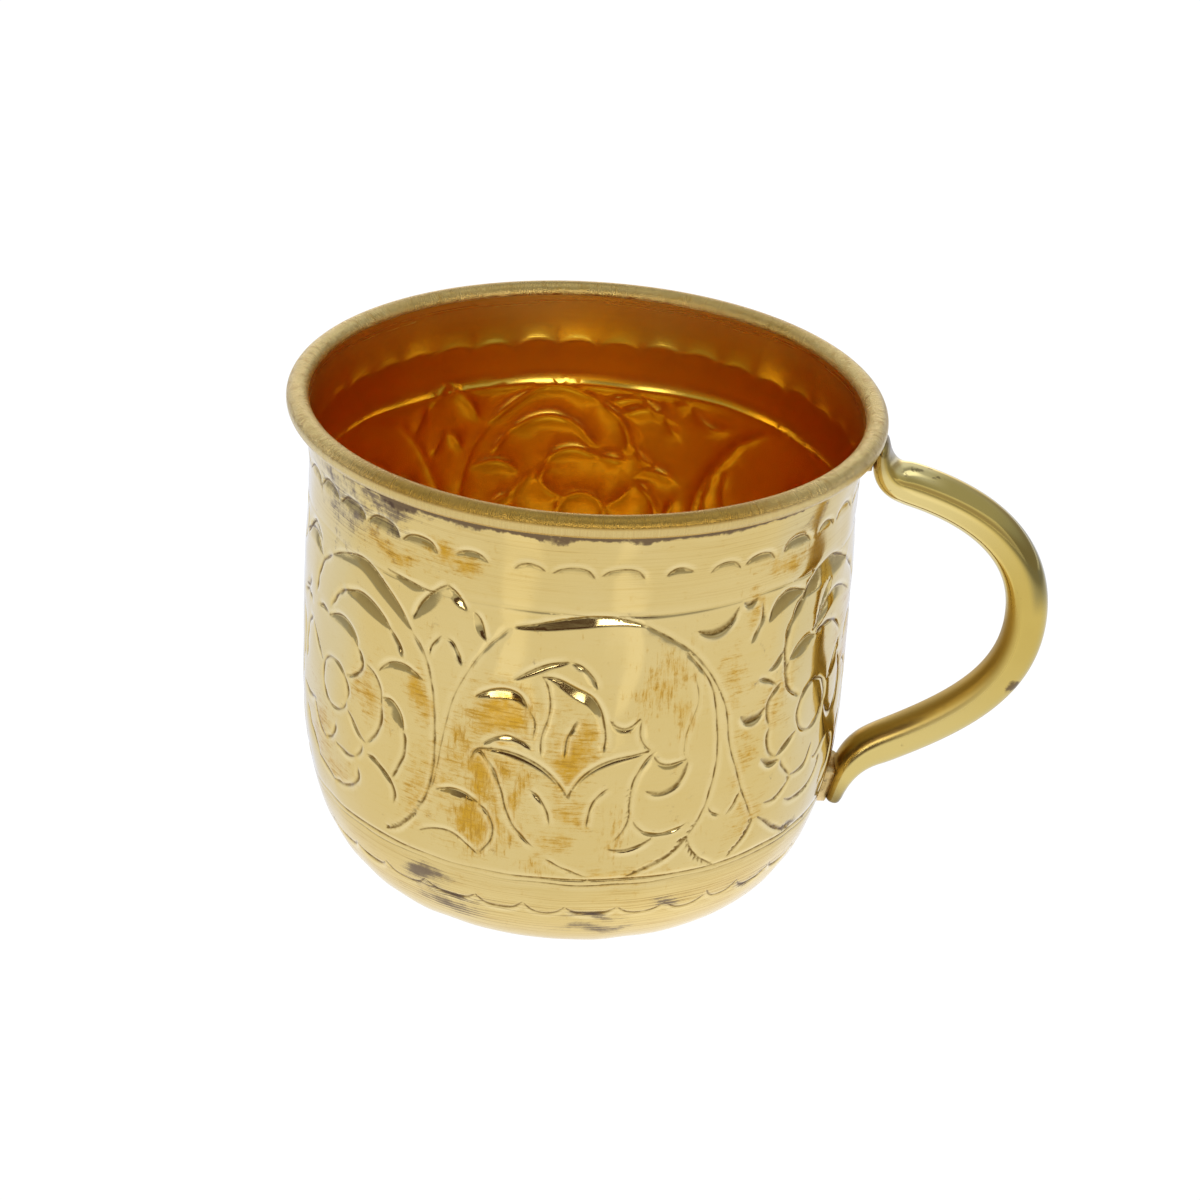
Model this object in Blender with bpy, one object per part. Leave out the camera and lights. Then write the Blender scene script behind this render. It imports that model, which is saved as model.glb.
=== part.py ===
"""Hand-chased brass cup: a spun sheet body with a wired rim, and a cast loop handle brazed to its wall.

Metres, +Z up. The origin is the middle of the flat base, and the handle points along +X.
"""

from math import cos, pi, radians, sin

import bmesh
import bpy
from mathutils import Vector

MM = 0.001

# Cup body, one sheet: its outer face is drawn, and its thickness lies inside
CUP_HEIGHT = 77.6 * MM
RIM_DIAMETER = 90.0 * MM
BAND_DIAMETER = 82.7 * MM
BELT_DIAMETER = 83.5 * MM
BASE_DIAMETER = 54.6 * MM
SHEET_THICKNESS = 0.75 * MM
NECK_DROP = 13.0 * MM
BELT_DROP = 16.4 * MM
BELT_STEP_HEIGHT = 1.4 * MM
CURVE_HEIGHT = 31.9 * MM
CURVE_EXPONENT = 2.2

# Rolled rim and the wire inside it
WIRE_DIAMETER = 1.3 * MM
CURL_TURN = radians(290)

# Handle, measured outwards from the wall and down from the top of the rim
HANDLE_REACH = 30.0 * MM
BOW_DROP = 31.2 * MM
BOW_FULLNESS = 1.08
SHOULDER_OUT = 6.6 * MM
SHOULDER_DROP = 10.7 * MM
SHOULDER_SLOPE = radians(-13)
RETURN_OUT = 6.4 * MM
RETURN_DROP = 55.8 * MM
RETURN_SLOPE = radians(-151)
FOOT_DROP = 65.6 * MM
ROD_THICKNESS = 6.4 * MM
ROD_WIDTH = 6.6 * MM
ROD_SQUARENESS = 2.3
TONGUE_WIDTH = 8.4 * MM
UPPER_TONGUE_THICKNESS = 2.2 * MM
UPPER_TONGUE_LENGTH = 5.2 * MM
LOWER_TONGUE_THICKNESS = 3.0 * MM
LOWER_TONGUE_LENGTH = 7.0 * MM

# Brazed seams
BRAZE_THICKNESS = 0.4 * MM
BRAZE_MARGIN = 0.7 * MM
BRAZE_CORNER = 1.8 * MM
FIT_GAP = 0.3 * MM

# Facets
TURNED_STEPS = 64
CURL_FACETS = 12
CURVE_FACETS = 10
ROD_FACETS = 18
SPAN_RINGS = (9, 12, 12, 8)

bead_radius = WIRE_DIAMETER / 2 + FIT_GAP + SHEET_THICKNESS
curl_radius = WIRE_DIAMETER / 2 + FIT_GAP
bead_centre = Vector((RIM_DIAMETER / 2 - bead_radius, 0, CUP_HEIGHT - bead_radius))
bead_underside = CUP_HEIGHT - 2 * bead_radius
neck_radius = bead_centre.x - curl_radius
handle_seat = 2 * FIT_GAP + BRAZE_THICKNESS


def smooth_step(share):
    """Ease from 0 to 1, level at both ends."""
    share = min(max(share, 0), 1)
    return share * share * (3 - 2 * share)


def wall_radius(height):
    """Radius of the sheet's outer face at a height: neck, plain band, chased belt, then the curve to the base."""
    drop = CUP_HEIGHT - height
    band, belt, base = BAND_DIAMETER / 2, BELT_DIAMETER / 2, BASE_DIAMETER / 2
    if height >= CURVE_HEIGHT:
        flare = smooth_step((NECK_DROP - drop) / (NECK_DROP - bead_radius))
        step = smooth_step((drop - BELT_DROP) / BELT_STEP_HEIGHT)
        return band + (neck_radius - band) * flare + (belt - band) * step
    depth = (1 - height / CURVE_HEIGHT) ** CURVE_EXPONENT
    return base + (belt - base) * (1 - depth) ** (1 / CURVE_EXPONENT)


def wall_heights():
    """Heights of the wall's profile points, from the bead's middle down to the base."""
    neck_facets, step_facets = 4, 2
    neck_span = NECK_DROP - bead_radius
    heights = [CUP_HEIGHT - bead_radius - neck_span * i / neck_facets for i in range(neck_facets + 1)]
    heights += [CUP_HEIGHT - BELT_DROP - BELT_STEP_HEIGHT * i / step_facets for i in range(step_facets + 1)]
    for i in range(CURVE_FACETS + 1):
        turn = pi / 2 * i / CURVE_FACETS
        heights.append(CURVE_HEIGHT * (1 - sin(turn) ** (2 / CURVE_EXPONENT)))
    return heights


def wall_profile(offset=0.0):
    """Outer face of the wall from the bead's middle down to the base, moved outwards by an offset."""
    heights = wall_heights()
    points = [Vector((wall_radius(height), 0, height)) for height in heights]
    moved = []
    for i, point in enumerate(points):
        run = points[min(i + 1, len(points) - 1)] - points[max(i - 1, 0)]
        outwards = Vector((-run.z, 0, run.x)).normalized()
        moved.append(point + offset * outwards)
    return moved


def curl_profile():
    """Inner face of the rolled rim, from its cut edge round the wire to the bead's middle beside the wall."""
    points = []
    for i in range(CURL_FACETS):
        turn = pi - CURL_TURN * (1 - i / CURL_FACETS)
        points.append(bead_centre + curl_radius * Vector((cos(turn), 0, sin(turn))))
    return points


def material(name, colour, roughness):
    """A metal with one colour and one roughness."""
    metal = bpy.data.materials.new(name)
    metal.use_nodes = True
    shader = metal.node_tree.nodes["Principled BSDF"]
    shader.inputs["Base Color"].default_value = (*colour, 1)
    shader.inputs["Metallic"].default_value = 1
    shader.inputs["Roughness"].default_value = roughness
    metal.diffuse_color = (*colour, 1)
    return metal


def add_object(name, mesh, metal=None):
    """Link a mesh to the scene as a named object; without a metal it is a hidden cutter."""
    item = bpy.data.objects.new(name, mesh)
    bpy.context.collection.objects.link(item)
    if metal:
        mesh.materials.append(metal)
    else:
        item.hide_render = True
        item.display_type = 'WIRE'
    return item


def line_mesh(name, points, closed=False):
    """A profile drawn as edges."""
    count = len(points)
    edges = [(i, (i + 1) % count) for i in range(count if closed else count - 1)]
    mesh = bpy.data.meshes.new(name)
    mesh.from_pydata(points, edges, [])
    return mesh


def turned(name, points, metal=None, closed=False):
    """Turn a profile, drawn at +X and running down its outer side, about the cup's axis."""
    item = add_object(name, line_mesh(name, points, closed), metal)
    screw = item.modifiers.new("turn", 'SCREW')
    screw.axis = 'Z'
    screw.angle = 2 * pi
    screw.steps = screw.render_steps = TURNED_STEPS
    screw.use_merge_vertices = True
    screw.merge_threshold = 0.01 * MM
    screw.use_smooth_shade = True
    return item


def cut_with(item, cutter, operation):
    """Boolean the item with a cutter."""
    boolean = item.modifiers.new(operation.lower(), 'BOOLEAN')
    boolean.operation = operation
    boolean.solver = 'EXACT'
    boolean.object = cutter


def make_cup_body(metal):
    """Turn the outer face from the curl's cut edge to the middle of the base, and thicken it inwards."""
    axis_point = Vector((0, 0, 0))
    body = turned("cup_body", curl_profile() + wall_profile() + [axis_point], metal)
    solidify = body.modifiers.new("sheet", 'SOLIDIFY')
    solidify.thickness = SHEET_THICKNESS
    solidify.offset = -1
    solidify.use_even_offset = True


def make_rim_wire(metal):
    """The wire that the rim is rolled over."""
    sides = 8
    turns = [-2 * pi * i / sides for i in range(sides)]
    ring = [bead_centre + WIRE_DIAMETER / 2 * Vector((cos(turn), 0, sin(turn))) for turn in turns]
    turned("rim_wire", ring, metal, closed=True)


def direction(slope):
    """Unit vector in the handle's plane, at an angle above +X."""
    return Vector((cos(slope), 0, sin(slope)))


def wall_point(drop, out):
    """A point in the handle's plane, given below the rim's top and outside the wall."""
    height = CUP_HEIGHT - drop
    return Vector((wall_radius(height) + out, 0, height))


def handle_knots():
    """Middle line of the handle as knots, each with its direction of travel, from the bead down to the foot."""
    foot_out = handle_seat + LOWER_TONGUE_THICKNESS / 2
    top = wall_point(CUP_HEIGHT - bead_underside + FIT_GAP, handle_seat + UPPER_TONGUE_THICKNESS / 2)
    foot = wall_point(FOOT_DROP, foot_out)
    shoulder = wall_point(SHOULDER_DROP, SHOULDER_OUT)
    bow = Vector((BELT_DIAMETER / 2 + HANDLE_REACH - ROD_THICKNESS / 2, 0, CUP_HEIGHT - BOW_DROP))
    back = wall_point(RETURN_DROP, RETURN_OUT)
    along_wall = foot - wall_point(FOOT_DROP - LOWER_TONGUE_LENGTH, foot_out)
    return [
        (top, direction(-pi / 2)),
        (shoulder, direction(SHOULDER_SLOPE)),
        (bow, direction(-pi / 2)),
        (back, direction(RETURN_SLOPE)),
        (foot, along_wall.normalized()),
    ]


def handle_line():
    """Points and travel directions along the handle, from one cubic curve between each pair of knots."""
    knots = handle_knots()
    stations = []
    for (start, start_way), (end, end_way), count in zip(knots, knots[1:], SPAN_RINGS):
        bend = start_way.angle(end_way)
        pull = BOW_FULLNESS * (end - start).length / (1.5 * (1 + cos(bend / 2)))
        controls = (start, start + pull * start_way, end - pull * end_way, end)
        stations += [curve_station(controls, i / count) for i in range(count)]
    stations.append(knots[-1])
    return stations


def curve_station(controls, share):
    """Point and direction of a cubic Bezier curve."""
    a, b, c, d = controls
    rest = 1 - share
    point = rest ** 3 * a + 3 * rest ** 2 * share * b + 3 * rest * share ** 2 * c + share ** 3 * d
    way = rest ** 2 * (b - a) + 2 * rest * share * (c - b) + share ** 2 * (d - c)
    return point, way.normalized()


def rod_ring(point, way, thickness, width):
    """Rounded cross-section of the handle, square to its middle line."""
    outwards = Vector((-way.z, 0, way.x))
    across = Vector((0, 1, 0))
    ring = []
    for i in range(ROD_FACETS):
        turn = 2 * pi * i / ROD_FACETS
        ring.append(point
                    + outwards * thickness / 2 * rounded(cos(turn))
                    + across * width / 2 * rounded(sin(turn)))
    return ring


def rounded(value):
    """Share of a half-width on a slightly squared circle."""
    size = abs(value) ** (2 / ROD_SQUARENESS)
    return size if value >= 0 else -size


def handle_rings():
    """Cross-sections along the handle: a flat tongue at each end that swells into the round rod."""
    stations = handle_line()
    run = [0.0]
    for (before, _), (after, _) in zip(stations, stations[1:]):
        run.append(run[-1] + (after - before).length)
    rings = []
    for (point, way), travelled in zip(stations, run):
        upper = 1 - smooth_step(travelled / (2 * UPPER_TONGUE_LENGTH))
        lower = 1 - smooth_step((run[-1] - travelled) / (2 * LOWER_TONGUE_LENGTH))
        thinning = (upper * (ROD_THICKNESS - UPPER_TONGUE_THICKNESS)
                    + lower * (ROD_THICKNESS - LOWER_TONGUE_THICKNESS))
        width = ROD_WIDTH + (upper + lower) * (TONGUE_WIDTH - ROD_WIDTH)
        rings.append(rod_ring(point, way, ROD_THICKNESS - thinning, width))
    return rings


def loft(name, rings):
    """Closed skin over a row of rings."""
    shape = bmesh.new()
    loops = [[shape.verts.new(point) for point in ring] for ring in rings]
    for before, after in zip(loops, loops[1:]):
        for i in range(len(before)):
            j = (i + 1) % len(before)
            shape.faces.new((before[i], before[j], after[j], after[i]))
    shape.faces.new(loops[0])
    shape.faces.new(loops[-1])
    bmesh.ops.recalc_face_normals(shape, faces=shape.faces)
    mesh = bpy.data.meshes.new(name)
    shape.to_mesh(mesh)
    shape.free()
    mesh.shade_smooth()
    mesh.set_sharp_from_angle(angle=radians(40))
    return mesh


def make_handle(metal):
    """Loft the handle, then cut the saddles where its tongues seat against the brazed seams."""
    handle = add_object("handle", loft("handle", handle_rings()), metal)
    ceiling = Vector((0, 0, bead_centre.z))
    floor_point = Vector((0, 0, -handle_seat))
    saddle = turned("saddle_cutter", [ceiling] + wall_profile(handle_seat) + [floor_point])
    cut_with(handle, saddle, 'DIFFERENCE')


def pad_block(name, top, bottom, width):
    """Block with round corners, seen along X, that trims a brazed seam to its outline."""
    corner = BRAZE_CORNER
    facets = 5
    middle = (top + bottom) / 2
    half_height = (top - bottom) / 2
    outline = []
    for quarter in range(4):
        for i in range(facets + 1):
            turn = pi / 2 * (quarter + i / facets)
            side = 1 if quarter in (0, 3) else -1
            rise = 1 if quarter in (0, 1) else -1
            outline.append((side * (width / 2 - corner) + corner * cos(turn),
                            middle + rise * (half_height - corner) + corner * sin(turn)))
    ends = (0, RIM_DIAMETER)
    return loft(name, [[Vector((x, y, z)) for y, z in outline] for x in ends])


def make_braze(name, metal, top, bottom):
    """Seam of filler between a tongue and the wall, wider than the tongue by a narrow margin."""
    shell = wall_profile(FIT_GAP + BRAZE_THICKNESS) + wall_profile(FIT_GAP)[::-1]
    seam = turned(name, shell, metal, closed=True)
    block = add_object(name + "_outline", pad_block(name, top, bottom, TONGUE_WIDTH + 2 * BRAZE_MARGIN))
    cut_with(seam, block, 'INTERSECT')


def make_cup():
    """Build every piece of the cup."""
    brass = material("polished_brass", (0.80, 0.58, 0.19), 0.22)
    wire = material("drawn_brass_wire", (0.74, 0.52, 0.18), 0.35)
    cast = material("cast_brass", (0.79, 0.56, 0.18), 0.18)
    filler = material("brazing_filler", (0.70, 0.50, 0.20), 0.4)
    make_cup_body(brass)
    make_rim_wire(wire)
    make_handle(cast)
    top = bead_underside - FIT_GAP
    make_braze("upper_braze", filler, top, top - UPPER_TONGUE_LENGTH)
    foot = CUP_HEIGHT - FOOT_DROP
    make_braze("lower_braze", filler, foot + LOWER_TONGUE_LENGTH, foot - BRAZE_MARGIN)


for old in list(bpy.data.objects):
    bpy.data.objects.remove(old)
make_cup()
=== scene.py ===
"""Looks of the hand-chased brass cup, dressed over its packed construction.

Metres, +Z up, origin in the middle of the base, handle along +X. The ornament is drawn flat, in millimetres,
on the unrolled sheet: along the wall towards the handle, and down from the top of the rim.
"""

from math import ceil, cos, pi, radians, sin, tau

import bmesh
import bpy
import numpy as np
from mathutils import Matrix, Vector
from mathutils.geometry import delaunay_2d_cdt


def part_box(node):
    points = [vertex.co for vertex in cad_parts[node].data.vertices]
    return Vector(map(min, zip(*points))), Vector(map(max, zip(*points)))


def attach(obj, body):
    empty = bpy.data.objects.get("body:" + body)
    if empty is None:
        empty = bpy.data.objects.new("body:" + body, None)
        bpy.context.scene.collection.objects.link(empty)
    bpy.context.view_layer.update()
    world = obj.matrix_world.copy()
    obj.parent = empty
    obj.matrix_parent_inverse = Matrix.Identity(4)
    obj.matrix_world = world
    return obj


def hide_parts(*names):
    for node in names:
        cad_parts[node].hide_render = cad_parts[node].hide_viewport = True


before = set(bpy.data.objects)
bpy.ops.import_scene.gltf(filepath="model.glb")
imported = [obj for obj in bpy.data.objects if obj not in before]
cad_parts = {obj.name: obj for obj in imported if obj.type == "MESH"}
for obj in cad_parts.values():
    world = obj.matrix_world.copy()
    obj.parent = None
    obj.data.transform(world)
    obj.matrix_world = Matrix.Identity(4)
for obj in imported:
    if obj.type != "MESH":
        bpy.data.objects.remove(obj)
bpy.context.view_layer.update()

MM = 0.001
SEED = 11

# Sizes of the turned sheet, in millimetres; its height and its rim come from the frame
BODY_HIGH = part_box("cup_body")[1]
CUP_HEIGHT = BODY_HIGH.z / MM
RIM_RADIUS = BODY_HIGH.x / MM
BAND_RADIUS = 41.35
BELT_RADIUS = 41.75
BASE_RADIUS = 27.3
SHEET = 0.75
WIRE_RADIUS = 0.65
FIT_GAP = 0.3
CURL_TURN = radians(290)
NECK_DROP = 13.0
BELT_DROP = 16.4
BELT_STEP = 11.0
CURVE_HEIGHT = 31.9
CURVE_EXPONENT = 2.2
CURL_RADIUS = WIRE_RADIUS + FIT_GAP
BEAD_RADIUS = CURL_RADIUS + SHEET
BEAD_CENTRE = (RIM_RADIUS - BEAD_RADIUS, CUP_HEIGHT - BEAD_RADIUS)
WALL_POINTS = 120
CURVE_POINTS = 90
CURL_POINTS = 10
BEAD_POINTS = 26

# Layout of the ornament round the wall, the unit of the sheet's own map, and how near points become one
DRAWN_RADIUS = 41.6
GIRTH = tau * DRAWN_RADIUS
FRONT_ANGLE = radians(-87)
COLUMNS = 264
MAP_UNIT = 100
MERGED = 0.01

# Camera, as fitted to the photograph
AZIMUTH = radians(3.0)
ELEVATION = radians(26.82)
ROLL = radians(3.452)
LENS_MM = 108.0
SENSOR_MM = 36
CAMERA_DISTANCE = 0.5530
AIM_RIGHT = 0.00358
AIM_BELOW_RIM = 0.034915
NEAREST_SEEN = 0.01


def smooth_step(share):
    """Ease from 0 to 1, level at both ends."""
    share = np.clip(share, 0, 1)
    return share * share * (3 - 2 * share)


def wall_radius(height):
    """Radius of the sheet's outer face at a height: neck, plain band, chased belt, curve to the base."""
    drop = CUP_HEIGHT - height
    neck = BEAD_CENTRE[0] - CURL_RADIUS
    if height >= CURVE_HEIGHT:
        flare = smooth_step((NECK_DROP - drop) / (NECK_DROP - BEAD_RADIUS))
        step = smooth_step((drop - BELT_DROP) / BELT_STEP)
        return BAND_RADIUS + (neck - BAND_RADIUS) * flare + (BELT_RADIUS - BAND_RADIUS) * step
    depth = (1 - height / CURVE_HEIGHT) ** CURVE_EXPONENT
    return BASE_RADIUS + (BELT_RADIUS - BASE_RADIUS) * (1 - depth) ** (1 / CURVE_EXPONENT)


def arc(centre, radius, start, end, count):
    """Points on a circle in the profile's plane."""
    turns = np.linspace(start, end, count)
    return np.column_stack([centre[0] + radius * np.cos(turns), centre[1] + radius * np.sin(turns)])


def wall_face(inset=0.0):
    """Radius and height along the wall, from the bead's middle to the flat base, set in by an inset."""
    upper = np.linspace(BEAD_CENTRE[1], CURVE_HEIGHT, WALL_POINTS, endpoint=False)
    turns = np.linspace(0, pi / 2, CURVE_POINTS)
    lower = CURVE_HEIGHT * (1 - np.sin(turns) ** (2 / CURVE_EXPONENT))
    heights = np.concatenate([upper, lower])
    line = np.column_stack([[wall_radius(height) for height in heights], heights])
    way = np.gradient(line, axis=0)
    way /= np.linalg.norm(way, axis=1)[:, None]
    way[0], way[-1] = (0, -1), (-1, 0)
    return line + inset * np.column_stack([way[:, 1], -way[:, 0]])


def base_profile():
    """Underside of the base, from its edge to its middle."""
    return np.array([(BASE_RADIUS, 0.0), (BASE_RADIUS / 2, 0.0), (0.0, 0.0)])


def rim_profile():
    """The rolled rim: inside the curl to its cut edge, and back over the bead to the inside of the wall."""
    cut = pi - CURL_TURN
    curl = arc(BEAD_CENTRE, CURL_RADIUS, pi, cut, CURL_POINTS)
    bead = arc(BEAD_CENTRE, BEAD_RADIUS, cut, pi, BEAD_POINTS)
    return np.concatenate([curl, bead])


def run_along(line):
    """Distance along a profile at each of its points."""
    steps = np.linalg.norm(np.diff(line, axis=0), axis=1)
    return np.concatenate([[0], np.cumsum(steps)])


OUTER = wall_face()
OUTER_RUN = run_along(OUTER)
OUTER_DROP = CUP_HEIGHT - OUTER[:, 1]


def run_at(drop):
    """Distance along the outer face for a depth below the top of the rim."""
    return np.interp(drop, OUTER_DROP, OUTER_RUN)


# Chasing tools, in millimetres. A liner leaves a groove with steep flanks, beside which the sheet gives way
# and takes a share of the depth; a broad punch leaves a facet with a slope and a hollowness.
LINE_DEPTH = 0.4
LINE_FLANK = 0.34
LINE_FADE = 1.6
LINE_SWING = 0.2
LINE_BEAT = 1.7
SHOULDER = 2.0
SHOULDER_SHARE = 0.55
LIP = 0.03
LIP_PLACE = 0.5
CUT_DEPTH = 0.2
BOLD_SLOPE = 0.36
BOLD_HOLLOW = 1.0
SOFT_SLOPE = 0.33
SOFT_HOLLOW = 1.2
SCALLOP_HOLLOW = 1.4
FACET_FADE = 1.5
FACET_CURVE = 0.75
END_SHARE = 0.05
END_CURVE = 0.7
BLUNT = 1.4
# Share of a facet's reach that painted shade covers on crescents struck from right to left
DOWN_FACET_SHADE = 0.85
TOOL_STEP = 0.5
SMOOTHING = 12
MOTIF_DROP = 39.5

# Cuts of a chisel's corner: how they lean along and across the line, how far beside it they lie, and how far
# they stray
TICK_LENGTH = 1.3
SMALL_TICK = 0.8
TICK_EVERY = 2
TICK_DEPTH = 0.75
TICK_FLANK = 0.4
TICK_ALONG = 0.75
TICK_ACROSS = 0.65
TICK_BESIDE = 0.3
LEAN_STRAY = 0.15
PLACE_STRAY = 0.1


def across(line):
    """Unit vectors to the right of travel along a line, with depth counted downwards."""
    way = np.gradient(line, axis=0)
    way /= np.linalg.norm(way, axis=1)[:, None] + 1e-9
    return np.column_stack([-way[:, 1], way[:, 0]])


class Stroke:
    """One pass of a chasing tool: a line on the flat sheet, its depth and the reach of its two flanks."""

    def __init__(self, line, depth, left, right, hollow=0, facet_shade=0):
        self.line = line
        self.depth = depth
        self.left = left
        self.right = right
        self.hollow = hollow
        self.facet_shade = facet_shade

    def along(self, line):
        """The same pass along another line."""
        return Stroke(line, self.depth, self.left, self.right, self.hollow, self.facet_shade)

    def moved(self, turn, size, shift):
        """The same pass, turned and sized about the middle of its motif, then shifted."""
        spin = size * np.array([[cos(turn), -sin(turn)], [sin(turn), cos(turn)]])
        middle = np.array([0, MOTIF_DROP])
        return self.along((self.line - middle) @ spin.T + middle + shift)


def smooth_line(points):
    """Evenly spaced points on a smooth curve through a few drawn ones."""
    drawn = np.array(points, float)
    ends = [2 * drawn[0] - drawn[1], *drawn, 2 * drawn[-1] - drawn[-2]]
    share = np.linspace(0, 1, SMOOTHING, endpoint=False)[:, None]
    dense = []
    for a, b, c, d in zip(ends, ends[1:], ends[2:], ends[3:]):
        dense.append(0.5 * (2 * b + (c - a) * share + (2 * a - 5 * b + 4 * c - d) * share ** 2
                            + (3 * b - a - 3 * c + d) * share ** 3))
    dense = np.concatenate([*dense, drawn[-1:]])
    run = run_along(dense)
    even = np.linspace(0, run[-1], max(4, ceil(run[-1] / TOOL_STEP) + 1))
    return np.column_stack([np.interp(even, run, dense[:, 0]), np.interp(even, run, dense[:, 1])])


def taper(line, length):
    """Share that fades to nothing over a length at both ends of a line."""
    run = run_along(line)
    nearest = np.minimum(run, run[-1] - run)
    return np.clip(nearest / length, END_SHARE, 1) ** END_CURVE


def groove(*points, depth=LINE_DEPTH, flank=LINE_FLANK):
    """A liner's groove with like flanks, pressed a little unevenly."""
    line = smooth_line(points)
    pressure = 1 + LINE_SWING * np.sin(LINE_BEAT * run_along(line) + 5 * points[0][0])
    reach = np.full(len(line), flank)
    return Stroke(line, depth * taper(line, LINE_FADE) * pressure, reach, reach)


def crescent(width, *points, slope=BOLD_SLOPE, hollow=BOLD_HOLLOW):
    """A groove whose right-hand flank is beaten down to a hollow facet, widest at its middle."""
    line = smooth_line(points)
    share = np.linspace(0, 1, len(line))
    least = min(width, CUT_DEPTH / slope)
    right = np.maximum(width * np.sin(pi * share) ** FACET_CURVE, least * taper(line, FACET_FADE))
    # Crescents struck from right to left get painted shade over their facets
    facet_shade = DOWN_FACET_SHADE if line[0][0] > line[-1][0] else 0
    return Stroke(line, slope * right, np.full(len(line), LINE_FLANK), right, hollow, facet_shade)


def petal(width, *points):
    """A crescent struck more gently, with a flatter facet."""
    return crescent(width, *points, slope=SOFT_SLOPE, hollow=SOFT_HOLLOW)


def ticks(rng, *points, length=TICK_LENGTH):
    """Short slanting cuts of a chisel's corner along one side of a line."""
    line = smooth_line(points)
    cuts = []
    for place, side in zip(line[1:-1:TICK_EVERY], across(line)[1:-1:TICK_EVERY]):
        half = 0.5 * length * rng.uniform(0.6, 1.1)
        along = side[::-1] * (1, -1)
        lean = half * (TICK_ACROSS * side + TICK_ALONG * along + rng.normal(0, LEAN_STRAY, 2))
        middle = place + TICK_BESIDE * side + rng.normal(0, PLACE_STRAY, 2)
        cuts.append(groove(middle - lean, middle, middle + lean, depth=TICK_DEPTH, flank=TICK_FLANK))
    return cuts


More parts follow.
